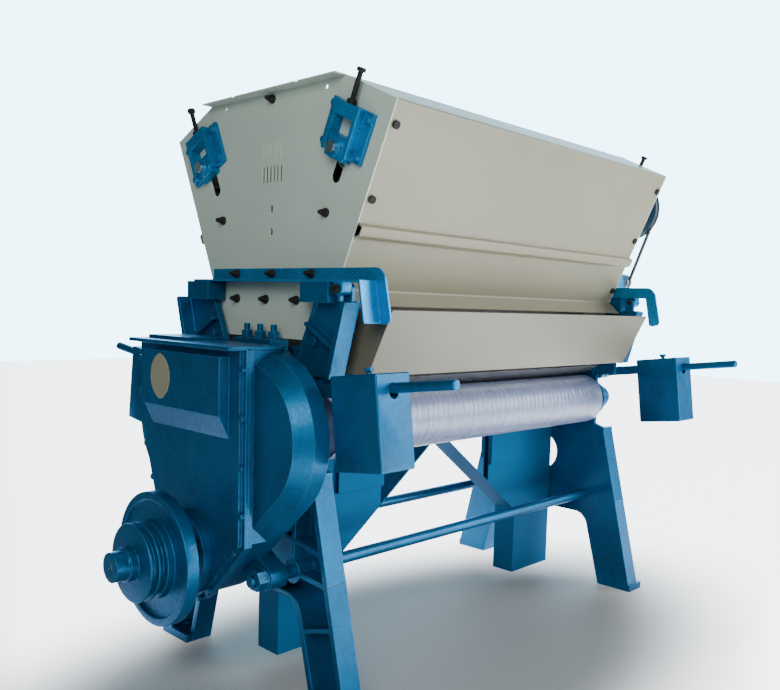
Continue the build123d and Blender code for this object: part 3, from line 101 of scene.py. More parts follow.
class GinStage(bpy.types.PropertyGroup):
    """Light and camera."""

    key_power: bpy.props.FloatProperty(
        name="Key light", description="Power of the large soft light at the front right", unit="POWER",
        min=0, default=620,
    )
    front_power: bpy.props.FloatProperty(
        name="Front light", description="Power of the soft light behind the camera", unit="POWER",
        min=0, default=200,
    )
    fill_power: bpy.props.FloatProperty(
        name="Top light", description="Power of the soft light overhead", unit="POWER", min=0, default=45
    )
    sky: bpy.props.FloatProperty(
        name="Sky", description="Strength of the even light from all round", min=0, default=0.16
    )
    backdrop: bpy.props.FloatProperty(
        name="Backdrop", description="Strength of the pale backdrop behind the machine", min=0, default=9.0
    )
    # Emission of the floor away from the machine: painted light from a floor that glows though it is no
    # lamp.
    painted_floor_glow: bpy.props.FloatProperty(
        name="Floor glow", description="Strength of the lit floor away from the machine", min=0, default=4.4
    )
    lens: bpy.props.FloatProperty(
        name="Lens", description="Focal length of the camera in millimetres", min=10, default=38.2
    )


def finish():
    """The finish settings in use."""
    return bpy.context.scene.gin_finish


# ------------------------------------------------------------------ materials
def new_material(name):
    """An empty node material: (material, nodes, links, principled shader)."""
    material = bpy.data.materials.new(name)
    material.use_nodes = True
    nodes = material.node_tree.nodes
    return material, nodes, material.node_tree.links, nodes["Principled BSDF"]


def noise(nodes, links, source, scale, detail=4.0, rough=0.55, stretch=None):
    """A noise pattern on object coordinates, optionally stretched along an axis."""
    texture = nodes.new("ShaderNodeTexNoise")
    texture.inputs["Scale"].default_value = scale
    texture.inputs["Detail"].default_value = detail
    texture.inputs["Roughness"].default_value = rough
    if stretch:
        mapping = nodes.new("ShaderNodeMapping")
        mapping.inputs["Scale"].default_value = stretch
        links.new(source, mapping.inputs["Vector"])
        source = mapping.outputs["Vector"]
    links.new(source, texture.inputs["Vector"])
    return texture.outputs["Fac"]


def ramp(nodes, links, source, low, high, from_value=0.0, to_value=1.0):
    """The source rescaled from low..high to from_value..to_value and held inside them."""
    scaled = nodes.new("ShaderNodeMapRange")
    scaled.inputs["From Min"].default_value = low
    scaled.inputs["From Max"].default_value = high
    scaled.inputs["To Min"].default_value = from_value
    scaled.inputs["To Max"].default_value = to_value
    links.new(source, scaled.inputs["Value"])
    return scaled.outputs["Result"]


def arith(nodes, links, operation, first, second):
    """One maths step between two sockets or numbers."""
    step = nodes.new("ShaderNodeMath")
    step.operation = operation
    step.use_clamp = operation == "MULTIPLY"
    for socket, value in zip(step.inputs, (first, second)):
        if isinstance(value, (int, float)):
            socket.default_value = value
        else:
            links.new(value, socket)
    return step.outputs["Value"]


def blend_colour(nodes, links, factor, first, second):
    """A mix of two colours, each a socket or an RGB triple."""
    mix = nodes.new("ShaderNodeMix")
    mix.data_type = "RGBA"
    links.new(factor, mix.inputs["Factor"])
    for socket, value in ((mix.inputs[6], first), (mix.inputs[7], second)):
        if hasattr(value, "links"):
            links.new(value, socket)
        else:
            socket.default_value = (*value[:3], 1)
    return mix.outputs[2]


def edge_mask(nodes, links, radius):
    """Where a surface turns sharply: the true normal compared with one rounded over a radius."""
    rounded = nodes.new("ShaderNodeBevel")
    rounded.samples = 4
    rounded.inputs["Radius"].default_value = radius
    geometry = nodes.new("ShaderNodeNewGeometry")
    dot = nodes.new("ShaderNodeVectorMath")
    dot.operation = "DOT_PRODUCT"
    links.new(rounded.outputs["Normal"], dot.inputs[0])
    links.new(geometry.outputs["Normal"], dot.inputs[1])
    return ramp(nodes, links, dot.outputs["Value"], 0.985, 0.90)


def bump(nodes, links, shader, height, distance, edge=0.0):
    """Raises the surface by a height pattern, over edges that look rounded to a radius."""
    node = nodes.new("ShaderNodeBump")
    node.inputs["Distance"].default_value = distance
    links.new(height, node.inputs["Height"])
    if edge:
        rounded = nodes.new("ShaderNodeBevel")
        rounded.samples = 6
        rounded.inputs["Radius"].default_value = edge
        links.new(rounded.outputs["Normal"], node.inputs["Normal"])
    links.new(node.outputs["Normal"], shader.inputs["Normal"])


def shade(rgb, factor):
    """A colour made lighter or darker."""
    return tuple(min(1.0, channel * factor) for channel in rgb)


def cast_enamel(name, rgb, grain=0.0009, gloss=0.36, wear=0.55):
    """Enamel on a sand casting: soft mottling, orange peel over a pitted skin, and dulled edges painted a
    lighter blue, partly as wear and partly as a painted highlight.
    """
    material, nodes, links, shader = new_material(name)
    place = nodes.new("ShaderNodeTexCoord").outputs["Object"]
    broad = ramp(nodes, links, noise(nodes, links, place, 5.5, 5), 0.32, 0.70)
    patches = ramp(nodes, links, noise(nodes, links, place, 42, 6, 0.65), 0.38, 0.66)
    tone = blend_colour(nodes, links, broad, shade(rgb, 0.74), shade(rgb, 1.22))
    tone = blend_colour(
        nodes, links, arith(nodes, links, "MULTIPLY", patches, 0.35), tone, shade(rgb, 1.45)
    )
    dusk = ramp(nodes, links, noise(nodes, links, place, 3.1, 3, 0.5, (1, 1, 0.6)), 0.52, 0.72, 0.0, 0.5)
    tone = blend_colour(nodes, links, dusk, tone, (0.030, 0.060, 0.120))
    # Edges painted a lighter blue: partly worn enamel, partly a painted highlight of light caught on the
    # bevels. The wear argument sets how strong it is.
    edges = edge_mask(nodes, links, 0.004)
    worn_and_highlit = arith(nodes, links, "MULTIPLY", edges, ramp(nodes, links, patches, 0, 1, 0.5, 1))
    worn_and_highlit = arith(nodes, links, "MULTIPLY", worn_and_highlit, wear)
    tone = blend_colour(nodes, links, worn_and_highlit, tone, (0.10, 0.34, 0.62))
    links.new(tone, shader.inputs["Base Color"])
    spots = noise(nodes, links, place, 160, 3, 0.6)
    links.new(ramp(nodes, links, spots, 0.3, 0.7, gloss - 0.08, gloss + 0.16), shader.inputs["Roughness"])
    shader.inputs["Metallic"].default_value = 0.55
    shader.inputs["Specular Tint"].default_value = (0.22, 0.62, 1.0, 1)
    shader.inputs["Coat Weight"].default_value = 0.10
    shader.inputs["Coat Roughness"].default_value = 0.20
    coarse = noise(nodes, links, place, 95, 5, 0.6)
    height = arith(nodes, links, "ADD", coarse, arith(nodes, links, "MULTIPLY", spots, 0.45))
    bump(nodes, links, shader, height, grain, 0.0035)
    return material


def sheet_paint(name, rgb, gloss=0.40, streak=0.5, sheen=(1, 1, 1), metal=0.0):
    """Paint on sheet metal: near even, with faint rain streaks, fine orange peel and rubbed edges."""
    material, nodes, links, shader = new_material(name)
    place = nodes.new("ShaderNodeTexCoord").outputs["Object"]
    broad = ramp(nodes, links, noise(nodes, links, place, 1.7, 3), 0.35, 0.68)
    runs = ramp(nodes, links, noise(nodes, links, place, 9, 5, 0.6, (1, 1, 0.16)), 0.42, 0.72)
    tone = blend_colour(nodes, links, broad, shade(rgb, 0.93), shade(rgb, 1.06))
    tone = blend_colour(
        nodes, links, arith(nodes, links, "MULTIPLY", runs, 0.22 * streak), tone, shade(rgb, 0.72)
    )
    rubbed = arith(nodes, links, "MULTIPLY", edge_mask(nodes, links, 0.003), 0.45)
    tone = blend_colour(nodes, links, rubbed, tone, shade(rgb, 1.35))
    links.new(tone, shader.inputs["Base Color"])
    shader.inputs["Specular Tint"].default_value = (*sheen, 1)
    shader.inputs["Metallic"].default_value = metal
    peel = noise(nodes, links, place, 210, 3, 0.5)
    links.new(ramp(nodes, links, peel, 0.3, 0.7, gloss - 0.04, gloss + 0.08), shader.inputs["Roughness"])
    bump(nodes, links, shader, peel, 0.00012, 0.0015)
    return material


def turned_steel(name, rgb, metal=1.0, gloss=0.32, axis="X"):
    """Turned or ground steel: fine rings round the axis and a little staining."""
    material, nodes, links, shader = new_material(name)
    place = nodes.new("ShaderNodeTexCoord").outputs["Object"]
    stretch = (60, 1, 1) if axis == "X" else (1, 1, 60)
    rings = noise(nodes, links, place, 14, 4, 0.6, stretch)
    stain = ramp(nodes, links, noise(nodes, links, place, 26, 6, 0.7), 0.45, 0.72)
    tone = blend_colour(nodes, links, ramp(nodes, links, rings, 0.3, 0.7), shade(rgb, 0.78), rgb)
    tone = blend_colour(
        nodes, links, arith(nodes, links, "MULTIPLY", stain, 0.4), tone, (0.16, 0.11, 0.08)
    )
    links.new(tone, shader.inputs["Base Color"])
    shader.inputs["Metallic"].default_value = metal
    links.new(ramp(nodes, links, rings, 0.25, 0.75, gloss - 0.1, gloss + 0.14), shader.inputs["Roughness"])
    bump(nodes, links, shader, rings, 0.00006)
    return material


def roller_leather(name, rgb, dark):
    """Ground leather on a roller: crowded streaks round it, slanting scuffs, pale dots painted in as glints,
    and sheen.
    """
    material, nodes, links, shader = new_material(name)
    place = nodes.new("ShaderNodeTexCoord").outputs["Object"]
    rings = noise(nodes, links, place, 5, 8, 0.72, (34, 3, 3))
    turn = nodes.new("ShaderNodeMapping")
    turn.inputs["Rotation"].default_value = (0, 0, math.radians(24))
    turn.inputs["Scale"].default_value = (40, 3, 3)
    links.new(place, turn.inputs["Vector"])
    slant = nodes.new("ShaderNodeTexNoise")
    slant.inputs["Scale"].default_value = 3
    slant.inputs["Detail"].default_value = 7
    links.new(turn.outputs["Vector"], slant.inputs["Vector"])
    glint_specks = noise(nodes, links, place, 240, 3, 0.7, (1, 0.35, 0.35))
    tone = blend_colour(nodes, links, ramp(nodes, links, rings, 0.36, 0.62), dark, rgb)
    scuffs = ramp(nodes, links, slant.outputs["Fac"], 0.50, 0.72, 0.0, 0.45)
    tone = blend_colour(nodes, links, scuffs, tone, (0.27, 0.25, 0.27))
    # Pale dots over the leather: a painted glint that stands in for light caught on the roller's face.
    lint = ramp(nodes, links, glint_specks, 0.60, 0.74, 0.0, 0.9)
    tone = blend_colour(nodes, links, lint, tone, (0.42, 0.48, 0.62))
    links.new(tone, shader.inputs["Base Color"])
    links.new(ramp(nodes, links, rings, 0.3, 0.7, 0.42, 0.24), shader.inputs["Roughness"])
    shader.inputs["Coat Weight"].default_value = 0.4
    shader.inputs["Coat Roughness"].default_value = 0.2
    height = arith(nodes, links, "ADD", rings, arith(nodes, links, "MULTIPLY", slant.outputs["Fac"], 0.6))
    bump(nodes, links, shader, height, 0.0011)
    return material


def dull_rubber(name, rgb):
    """Rubber or belting: dark, dusty and slightly ribbed."""
    material, nodes, links, shader = new_material(name)
    place = nodes.new("ShaderNodeTexCoord").outputs["Object"]
    dust = ramp(nodes, links, noise(nodes, links, place, 30, 6, 0.7), 0.4, 0.75)
    tone = blend_colour(nodes, links, dust, rgb, shade(rgb, 3.2))
    links.new(tone, shader.inputs["Base Color"])
    links.new(ramp(nodes, links, dust, 0, 1, 0.55, 0.85), shader.inputs["Roughness"])
    bump(nodes, links, shader, noise(nodes, links, place, 300, 2), 0.0002)
    return material


def black_steel(name):
    """Blackened fasteners with a greasy shine and rubbed edges."""
    material, nodes, links, shader = new_material(name)
    place = nodes.new("ShaderNodeTexCoord").outputs["Object"]
    grime = noise(nodes, links, place, 120, 5, 0.65)
    edges = arith(nodes, links, "MULTIPLY", edge_mask(nodes, links, 0.0015), 0.6)
    greasy = ramp(nodes, links, grime, 0.35, 0.7)
    tone = blend_colour(nodes, links, greasy, (0.007, 0.007, 0.007), (0.022, 0.020, 0.018))
    tone = blend_colour(nodes, links, edges, tone, (0.09, 0.085, 0.08))
    links.new(tone, shader.inputs["Base Color"])
    links.new(ramp(nodes, links, grime, 0.3, 0.7, 0.4, 0.7), shader.inputs["Roughness"])
    shader.inputs["Specular IOR Level"].default_value = 0.15
    bump(nodes, links, shader, grime, 0.0003)
    return material


def materials():
    """The finish of each slot of the record, made once."""
    settings = finish()
    if "casting enamel" not in bpy.data.materials:
        cast_enamel("casting enamel", tuple(settings.casting_blue))
        cast_enamel("bright enamel", tuple(settings.bright_blue), grain=0.0006, gloss=0.30)
        sheet_paint("blue sheet enamel", tuple(settings.casting_blue), 0.62, 0.5, (0.15, 0.55, 1.0), 0.4)
        sheet_paint("cream panel paint", tuple(settings.cream))
        sheet_paint("end panel paint", tuple(settings.end_cream))
        sheet_paint("hood paint", tuple(settings.hood_cream))
        roller_leather("roller leather", tuple(settings.leather), tuple(settings.leather_dark))
        turned_steel("turned steel", (0.62, 0.61, 0.59))
        turned_steel("machined iron", (0.045, 0.085, 0.130), 0.8, 0.46)
        black_steel("blackened steel")
        dull_rubber("apron rubber", (0.035, 0.03, 0.026))
        dull_rubber("belt rubber", (0.012, 0.012, 0.012))
    names = {
        "blue_casting": "casting enamel",
        "bright_blue": "bright enamel",
        "blue_sheet": "blue sheet enamel",
        "cream_paint": "cream panel paint",
        "hopper_end_paint": "end panel paint",
        "hood_paint": "hood paint",
        "roller_leather": "roller leather",
        "bright_steel": "turned steel",
        "gear_iron": "machined iron",
        "dark_steel": "blackened steel",
        "apron_rubber": "apron rubber",
        "belt_rubber": "belt rubber",
    }
    return {slot: bpy.data.materials[name] for slot, name in names.items()}


# ------------------------------------------------------------------ meshes
def surface(name, points, faces, material, smooth=True):
    """A mesh object from an array of points and arrays of four-cornered faces."""
    mesh = bpy.data.meshes.new(name)
    points = np.asarray(points, dtype=np.float32).reshape(-1, 3)
    faces = np.asarray(faces, dtype=np.int32).reshape(-1, 4)
    mesh.vertices.add(len(points))
    mesh.vertices.foreach_set("co", points.ravel())
    mesh.loops.add(faces.size)
    mesh.loops.foreach_set("vertex_index", faces.ravel())
    mesh.polygons.add(len(faces))
    mesh.polygons.foreach_set("loop_start", np.arange(0, faces.size, 4, dtype=np.int32))
    mesh.polygons.foreach_set("use_smooth", np.full(len(faces), smooth))
    mesh.update(calc_edges=True)
    mesh.materials.append(material)
    piece = bpy.data.objects.new(name, mesh)
    bpy.context.scene.collection.objects.link(piece)
    return piece


def grid_faces(rows, columns, close_rows=False, close_columns=False, start=0):
    """Quads between neighbouring points of a rows x columns grid, joined end to end where asked."""
    last_row = rows if close_rows else rows - 1
    last_column = columns if close_columns else columns - 1
    row, column = np.meshgrid(np.arange(last_row), np.arange(last_column), indexing="ij")
    next_row = (row + 1) % rows
    next_column = (column + 1) % columns
    corners = (
        row * columns + column,
        row * columns + next_column,
        next_row * columns + next_column,
        next_row * columns + column,
    )
    return np.stack(corners, axis=-1).reshape(-1, 4) + start


def rounded(points, radius, closed=False, steps=4):
    """A polyline with each corner replaced by an arc.

    The arc's ends lie on both sides at radius * tan(half the turn) from the corner, but never past 45 %
    of the shorter side, and its points come from blending the two ends through the corner as a
    quadratic curve: (1-t)^2 start + 2t(1-t) corner + t^2 end.
    """
    points = np.asarray(points, dtype=float)
    count = len(points)
    share = np.linspace(0, 1, steps + 1)[:, None]
    out = []
    for index in range(count):
        corner = points[index]
        if not closed and index in (0, count - 1):
            out.append(corner[None])
            continue
        before = points[index - 1] - corner
        after = points[(index + 1) % count] - corner
        sizes = np.linalg.norm(before), np.linalg.norm(after)
        cosine = np.clip(np.dot(before, after) / (sizes[0] * sizes[1]), -0.9999, 0.9999)
        turn = math.pi - math.acos(cosine)
        cut = min(radius * math.tan(turn / 2), 0.45 * min(sizes))
        start = corner + before / sizes[0] * cut
        end = corner + after / sizes[1] * cut
        out.append((1 - share) ** 2 * start + 2 * share * (1 - share) * corner + share**2 * end)
    return np.concatenate(out)


def outwards(piece):
    """Merges doubles and turns all faces outwards."""
    work = bmesh.new()
    work.from_mesh(piece.data)
    bmesh.ops.remove_doubles(work, verts=work.verts, dist=1e-6)
    bmesh.ops.recalc_face_normals(work, faces=work.faces)
    work.to_mesh(piece.data)
    work.free()


def sharpen(piece, degrees=32):
    """Marks the edges that turn by more than an angle as sharp, so the rest shade smoothly."""
    work = bmesh.new()
    work.from_mesh(piece.data)
    limit = math.radians(degrees)
    for edge in work.edges:
        edge.smooth = len(edge.link_faces) == 2 and edge.calc_face_angle(0) < limit
    work.to_mesh(piece.data)
    work.free()


def lathe(name, profile, centre, material, segments=96, radius=0.0015):
    """A turned piece: a closed profile of (x, r) corners, rounded, swept round an axis along X.

    Each point is (x, cy + r cos a, cz + r sin a) for the angle a from 0 to a full turn.
    """
    line = rounded(profile, radius, closed=True)
    angle = np.linspace(0, 2 * math.pi, segments, endpoint=False)
    reach, turn = np.meshgrid(line[:, 1], angle, indexing="ij")
    along = np.repeat(line[:, 0][:, None], segments, axis=1)
    points = np.stack(
        (along, centre[0] + reach * np.cos(turn), centre[1] + reach * np.sin(turn)), axis=-1
    )
    piece = surface(name, points, grid_faces(len(line), segments, True, True), material)
    outwards(piece)
    sharpen(piece, 40)
    return piece


def softened(node, edge, name=None, segments=2, angle=28):
    """A CAD node's shape with its triangles merged into faces, and its edges rounded if edge isn't 0."""
    source = NODES[node]
    work = bmesh.new()
    work.from_mesh(source.data)
    bmesh.ops.remove_doubles(work, verts=work.verts, dist=2e-6)
    bmesh.ops.dissolve_limit(
        work, angle_limit=math.radians(0.6), verts=work.verts, edges=work.edges, delimit={"NORMAL"}
    )
    mesh = bpy.data.meshes.new(name or f"{node}_finished")
    work.to_mesh(mesh)
    work.free()
    mesh.polygons.foreach_set("use_smooth", np.full(len(mesh.polygons), True))
    piece = bpy.data.objects.new(name or f"{node}_finished", mesh)
    bpy.context.scene.collection.objects.link(piece)
    mesh.materials.append(materials()[SLOT_OF[node]])
    sharpen(piece, angle)
    if not edge:
        settle(piece, node)
        return piece
    bevel = piece.modifiers.new("edges", "BEVEL")
    bevel.width = edge
    bevel.segments = segments
    bevel.limit_method = "ANGLE"
    bevel.angle_limit = math.radians(angle)
    bevel.use_clamp_overlap = True
    bevel.miter_outer = "MITER_SHARP"
    bevel.harden_normals = True
    settle(piece, node)
    return piece


def settle(piece, *nodes):
    """The piece rides where its CAD nodes do and stands for them."""
    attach(piece, BODY_OF[nodes[0]])
    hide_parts(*nodes)


def dress(*nodes):
    """Puts the slot's finish on CAD nodes that keep their own shape."""
    finishes = materials()
    for node in nodes:
        data = NODES[node].data
        data.materials.clear()
        data.materials.append(finishes[SLOT_OF[node]])


# ------------------------------------------------------------------ operators
class GinOperator(bpy.types.Operator):
    """Common base of the gin's operators."""

    bl_options = {"REGISTER", "UNDO"}


class GIN_OT_stage(GinOperator):
    """Sets the floor with its painted light and painted shadow, the soft lights and the camera"""

    bl_idname = "gin.stage"
    bl_label = "Stage"

    def execute(self, context):
        stage = context.scene.gin_stage
        material, nodes, links, shader = new_material("studio floor")
        place = nodes.new("ShaderNodeTexCoord").outputs["Object"]
        # An ellipse under the machine, where the floor's emission and base colour drop to a painted shadow.
        painted_shadow_ellipse = nodes.new("ShaderNodeMapping")
        painted_shadow_ellipse.inputs["Location"].default_value = (0.25, 0.30, 0)
        painted_shadow_ellipse.inputs["Scale"].default_value = (0.62, 1.15, 1)
        links.new(place, painted_shadow_ellipse.inputs["Vector"])
        reach = nodes.new("ShaderNodeVectorMath")
        reach.operation = "LENGTH"
        links.new(painted_shadow_ellipse.outputs["Vector"], reach.inputs[0])
        # Emission low inside the ellipse, a painted shadow, and high outside it, painted light.
        glow = nodes.new("ShaderNodeMapRange")
        glow.interpolation_type = "SMOOTHERSTEP"
        glow.inputs["From Min"].default_value = 0.55
        glow.inputs["From Max"].default_value = 1.30
        glow.inputs["To Min"].default_value = 0.02
        glow.inputs["To Max"].default_value = stage.painted_floor_glow
        links.new(reach.outputs["Value"], glow.inputs["Value"])
        # The floor glows only where it lies in the camera's direction past the machine: painted light.
        offset = nodes.new("ShaderNodeVectorMath")
        offset.operation = "SUBTRACT"
        offset.inputs[1].default_value = (*CAMERA_PLACE[:2], 0)
        links.new(place, offset.inputs[0])
        away = nodes.new("ShaderNodeVectorMath")
        away.operation = "NORMALIZE"
        links.new(offset.outputs["Vector"], away.inputs[0])
        behind = nodes.new("ShaderNodeVectorMath")
        behind.operation = "DOT_PRODUCT"
        behind.inputs[1].default_value = VIEW_DIRECTION
        links.new(away.outputs["Vector"], behind.inputs[0])
        # A bright glowing patch of floor at the front right: a painted pool of light that also lights the
        # machine and shows in it.
        painted_light_patch = nodes.new("ShaderNodeVectorMath")
        painted_light_patch.operation = "DISTANCE"
        painted_light_patch.inputs[1].default_value = (1.4, -3.4, 0)
        links.new(place, painted_light_patch.inputs[0])
        strength = nodes.new("ShaderNodeMath")
        strength.operation = "MULTIPLY_ADD"
        links.new(glow.outputs["Result"], strength.inputs[0])
        links.new(ramp(nodes, links, behind.outputs["Value"], 0.84, 0.89), strength.inputs[1])
        links.new(ramp(nodes, links, painted_light_patch.outputs["Value"], 2.6, 1.2, 0.0, 8.0), strength.inputs[2])
        # Base colour darker inside the ellipse under the machine: a painted shadow.
        outer = ramp(nodes, links, reach.outputs["Value"], 0.55, 1.10)
        tone = blend_colour(nodes, links, outer, shade(finish().floor, 0.24), shade(finish().floor, 0.5))
        links.new(tone, shader.inputs["Base Color"])
        shader.inputs["Emission Color"].default_value = (0.93, 0.97, 1.0, 1)
        links.new(strength.outputs["Value"], shader.inputs["Emission Strength"])
        shader.inputs["Roughness"].default_value = 0.7
        corners = np.array([(-12, -12, 0), (12, -12, 0), (12, 12, 0), (-12, 12, 0)])
        floor = surface("floor", corners, [(0, 1, 2, 3)], material, False)

        world = bpy.data.worlds.new("studio")
        world.use_nodes = True
        sky, joins = world.node_tree.nodes, world.node_tree.links
        background = sky["Background"]
        background.inputs["Color"].default_value = (0.48, 0.81, 1.0, 1)
        toward = sky.new("ShaderNodeVectorMath")
        toward.operation = "DOT_PRODUCT"
        toward.inputs[1].default_value = VIEW_DIRECTION
        direction = sky.new("ShaderNodeTexCoord").outputs["Generated"]
        joins.new(direction, toward.inputs[0])
        lit = sky.new("ShaderNodeMapRange")
        lit.interpolation_type = "SMOOTHSTEP"
        lit.inputs["From Min"].default_value = 0.62
        lit.inputs["From Max"].default_value = 0.82
        lit.inputs["To Min"].default_value = stage.sky
        lit.inputs["To Max"].default_value = stage.backdrop
        joins.new(toward.outputs["Value"], lit.inputs["Value"])
        parts = sky.new("ShaderNodeSeparateXYZ")
        joins.new(direction, parts.inputs["Vector"])
        low = ramp(sky, joins, parts.outputs["Z"], 0.40, 0.58, 1.0, 0.03)
        glare = sky.new("ShaderNodeMath")
        glare.operation = "MULTIPLY"
        joins.new(lit.outputs["Result"], glare.inputs[0])
        joins.new(low, glare.inputs[1])
        joins.new(glare.outputs["Value"], background.inputs["Strength"])
        context.scene.world = world

        aim = Vector((0, 0, 0.8))
        lights = (
            ("key", (4.5, -5.5, 3.0), 5.0, stage.key_power, (0.97, 0.98, 1.0)),
            ("front", (-4.2, -3.2, 3.0), 3.0, stage.front_power, (1.0, 0.98, 0.95)),
            ("top", (0.0, 0.0, 5.2), 3.5, stage.fill_power, (1.0, 1.0, 1.0)),
        )
        for name, place, size, power, rgb in lights:
            lamp = bpy.data.lights.new(name, "AREA")
            lamp.shape = "DISK"
            lamp.size = size
            lamp.energy = power
            lamp.color = rgb
            holder = bpy.data.objects.new(name, lamp)
            holder.location = place
            holder.rotation_euler = (aim - Vector(place)).to_track_quat("-Z", "Y").to_euler()
            context.scene.collection.objects.link(holder)

        yaw, pitch, roll = (math.radians(a) for a in CAMERA_TURN)
        forward = Vector(
            (math.sin(yaw) * math.cos(pitch), math.cos(yaw) * math.cos(pitch), math.sin(pitch))
        )
        right = Vector((math.cos(yaw), -math.sin(yaw), 0))
        up = right.cross(forward)
        across = math.cos(roll) * right + math.sin(roll) * up
        upright = -math.sin(roll) * right + math.cos(roll) * up
        lens = bpy.data.cameras.new("camera")
        lens.lens = stage.lens
        lens.sensor_width = 36
        lens.shift_x = -0.064
        lens.shift_y = 0.0444
        camera = bpy.data.objects.new("camera", lens)
        rotation = Matrix((across, upright, -forward)).transposed()
        camera.matrix_world = Matrix.Translation(CAMERA_PLACE) @ rotation.to_4x4()
        context.scene.collection.objects.link(camera)
        context.scene.camera = camera
        return {"FINISHED"}


def arch_rim(name, node, side):
    """The raised rim round the arch between the legs of an end frame.

    Its line runs up one leg, across the arch and down the other, with both top corners rounded. Each
    point of its rounded four-cornered section is (x, line + offset * normal).
    """
    line = rounded([(-0.2993, 0.020), (-0.222, 0.280), (0.222, 0.280), (0.2993, 0.020)], 0.060, steps=12)
    steps = np.gradient(line, axis=0)
    steps /= np.linalg.norm(steps, axis=1)[:, None]
    left = np.stack((-steps[:, 1], steps[:, 0]), axis=1)
    corners = [(0.712, -0.0008), (0.7786, -0.0008), (0.7786, 0.0172), (0.712, 0.0172)]
    section = rounded(corners, 0.004, closed=True)
    flat = line[:, None, :] + left[:, None, :] * section[None, :, 1:]
    x = np.broadcast_to(side * section[:, 0], flat.shape[:2])
    points = np.stack((x, flat[..., 0], flat[..., 1]), axis=-1)
    rows, columns = flat.shape[:2]
    index = np.arange(columns // 2 - 1)
    fan = np.stack((index, index + 1, columns - 2 - index, columns - 1 - index), axis=-1)
    faces = [grid_faces(rows, columns, close_columns=True), fan, fan + (rows - 1) * columns]
    piece = surface(name, points, np.concatenate(faces), materials()["blue_casting"])
    outwards(piece)
    sharpen(piece, 40)
    settle(piece, node)


class GIN_OT_castings(GinOperator):
    """Rounds and paints the big blue castings"""

    bl_idname = "gin.castings"
    bl_label = "Castings"

    def execute(self, context):
        for node in (
            "near_end_frame", "far_end_frame", "hopper_brackets", "gear_case", "gear_case_cover",
            "beater_bearings", "roller_bearings",
        ):
            softened(node, 0, angle=20)
        arch_rim("near_arch_rim", "near_end_frame", -1)
        arch_rim("far_arch_rim", "far_end_frame", 1)
        for node in ("gear_case_lid", "knife_beams"):
            softened(node, finish().small_edge * 1.6)
        return {"FINISHED"}


class GIN_OT_weights(GinOperator):
    """Rounds and paints the levers and their weights"""

    bl_idname = "gin.weights"
    bl_label = "Levers and weights"

    def execute(self, context):
        for end in ("near", "far"):
            for side in ("front", "back"):
                softened(f"{end}_{side}_weight", finish().casting_edge * 0.6)
                softened(f"{end}_{side}_lever", finish().small_edge)
        softened("bearing_hangers", 0)
        return {"FINISHED"}


class GIN_OT_drive(GinOperator):
    """Turns the drive pulley and flywheel, and finishes the shafts, gears and rods"""

    bl_idname = "gin.drive"
    bl_label = "Drive"

    def execute(self, context):
        profile = [
            (-1.051, 0.030), (-1.051, 0.060), (-1.059, 0.060), (-1.059, 0.159), (-1.051, 0.159),
            (-1.051, 0.181), (-1.085, 0.181), (-1.085, 0.159), (-1.076, 0.159), (-1.076, 0.1055),
            (-1.0965, 0.1055), (-1.0993, 0.0905), (-1.1107, 0.0905), (-1.1135, 0.1055),
            (-1.1205, 0.1055), (-1.1233, 0.0905), (-1.1347, 0.0905), (-1.1375, 0.1055),
            (-1.144, 0.1055), (-1.144, 0.046), (-1.166, 0.046), (-1.166, 0.040), (-1.201, 0.040),
            (-1.201, 0.009), (-1.197, 0.009), (-1.197, 0.030),
        ]
        wheel = lathe("drive_wheel", profile, (0, 0.408), materials()["blue_casting"], 128, 0.002)
        settle(wheel, "drive_pulley")
        softened("drive_bearing_flange", finish().small_edge)
        dress(
            "drive_shaft", "countershaft", "bull_gear", "front_roller_shaft", "back_roller_shaft",
            "front_roller_gear", "back_roller_gear", "beater_shaft", "beater_arm", "connecting_rod",
        )
        return {"FINISHED"}


def roller_cover(name, node, centre_y, hand):
    """A leather-faced roller.

    At length share x and angle a, the radius is the face radius, less groove depth times the eighth
    power of the cosine of (pi x / pitch + 1.5 a hand), less a small sum of slow sines that stands for
    wear, and it rounds over at both ends as a quarter circle does.
    """
    low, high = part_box(node)
    half = high[0]
    outer = (high[2] - low[2]) / 2
    centre_z = (high[2] + low[2]) / 2
    inner = outer - 0.064
    lip = 0.012
    segments = 112
    bend = np.linspace(0, math.pi / 2, 6)
    flat = np.linspace(-half + lip, half - lip, 520)
    inset = lip * (1 - np.sin(bend))
    fall = lip * (1 - np.cos(bend))
    along = np.concatenate((-half + inset[:-1], flat, half - inset[::-1][1:]))
    drop = np.concatenate((fall[::-1][:-1], np.zeros(len(flat)), fall[1:]))
    angle = np.linspace(0, 2 * math.pi, segments, endpoint=False)
    x, a = np.meshgrid(along, angle, indexing="ij")
    groove = np.cos(math.pi * x / finish().groove_pitch + 1.5 * hand * a) ** 8
    wear = 0.5 + 0.2 * np.sin(31 * x + 3 * a) + 0.2 * np.sin(77 * x - 2 * a) + 0.1 * np.sin(190 * x + a)
    inside = (np.abs(x) < half - lip).astype(float)
    radius = outer - drop[:, None] - inside * (finish().groove_depth * groove + 0.0007 * wear)
    ring = np.stack((x, centre_y + radius * np.cos(a), centre_z + radius * np.sin(a)), axis=-1)
    caps = []
    for end in (-half, half):
        caps.append(
            np.stack(
                (np.full(segments, end), centre_y + inner * np.cos(angle), centre_z + inner * np.sin(angle)),
                axis=-1,
            )
        )
    points = np.concatenate((caps[0][None], ring, caps[1][None]))
    faces = grid_faces(len(points), segments, True, True)
    piece = surface(name, points, faces, materials()["roller_leather"])
    outwards(piece)
    sharpen(piece, 50)
    settle(piece, node)
    return piece


class GIN_OT_rollers(GinOperator):
    """Makes the two grooved leather rollers"""

    bl_idname = "gin.rollers"
    bl_label = "Rollers"

    def execute(self, context):
        for name, node, hand in (("front", "front_roller_cover", 1), ("back", "back_roller_cover", -1)):
            low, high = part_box(node)
            roller_cover(f"{name}_grooved_roller", node, (low[1] + high[1]) / 2, hand)
        return {"FINISHED"}


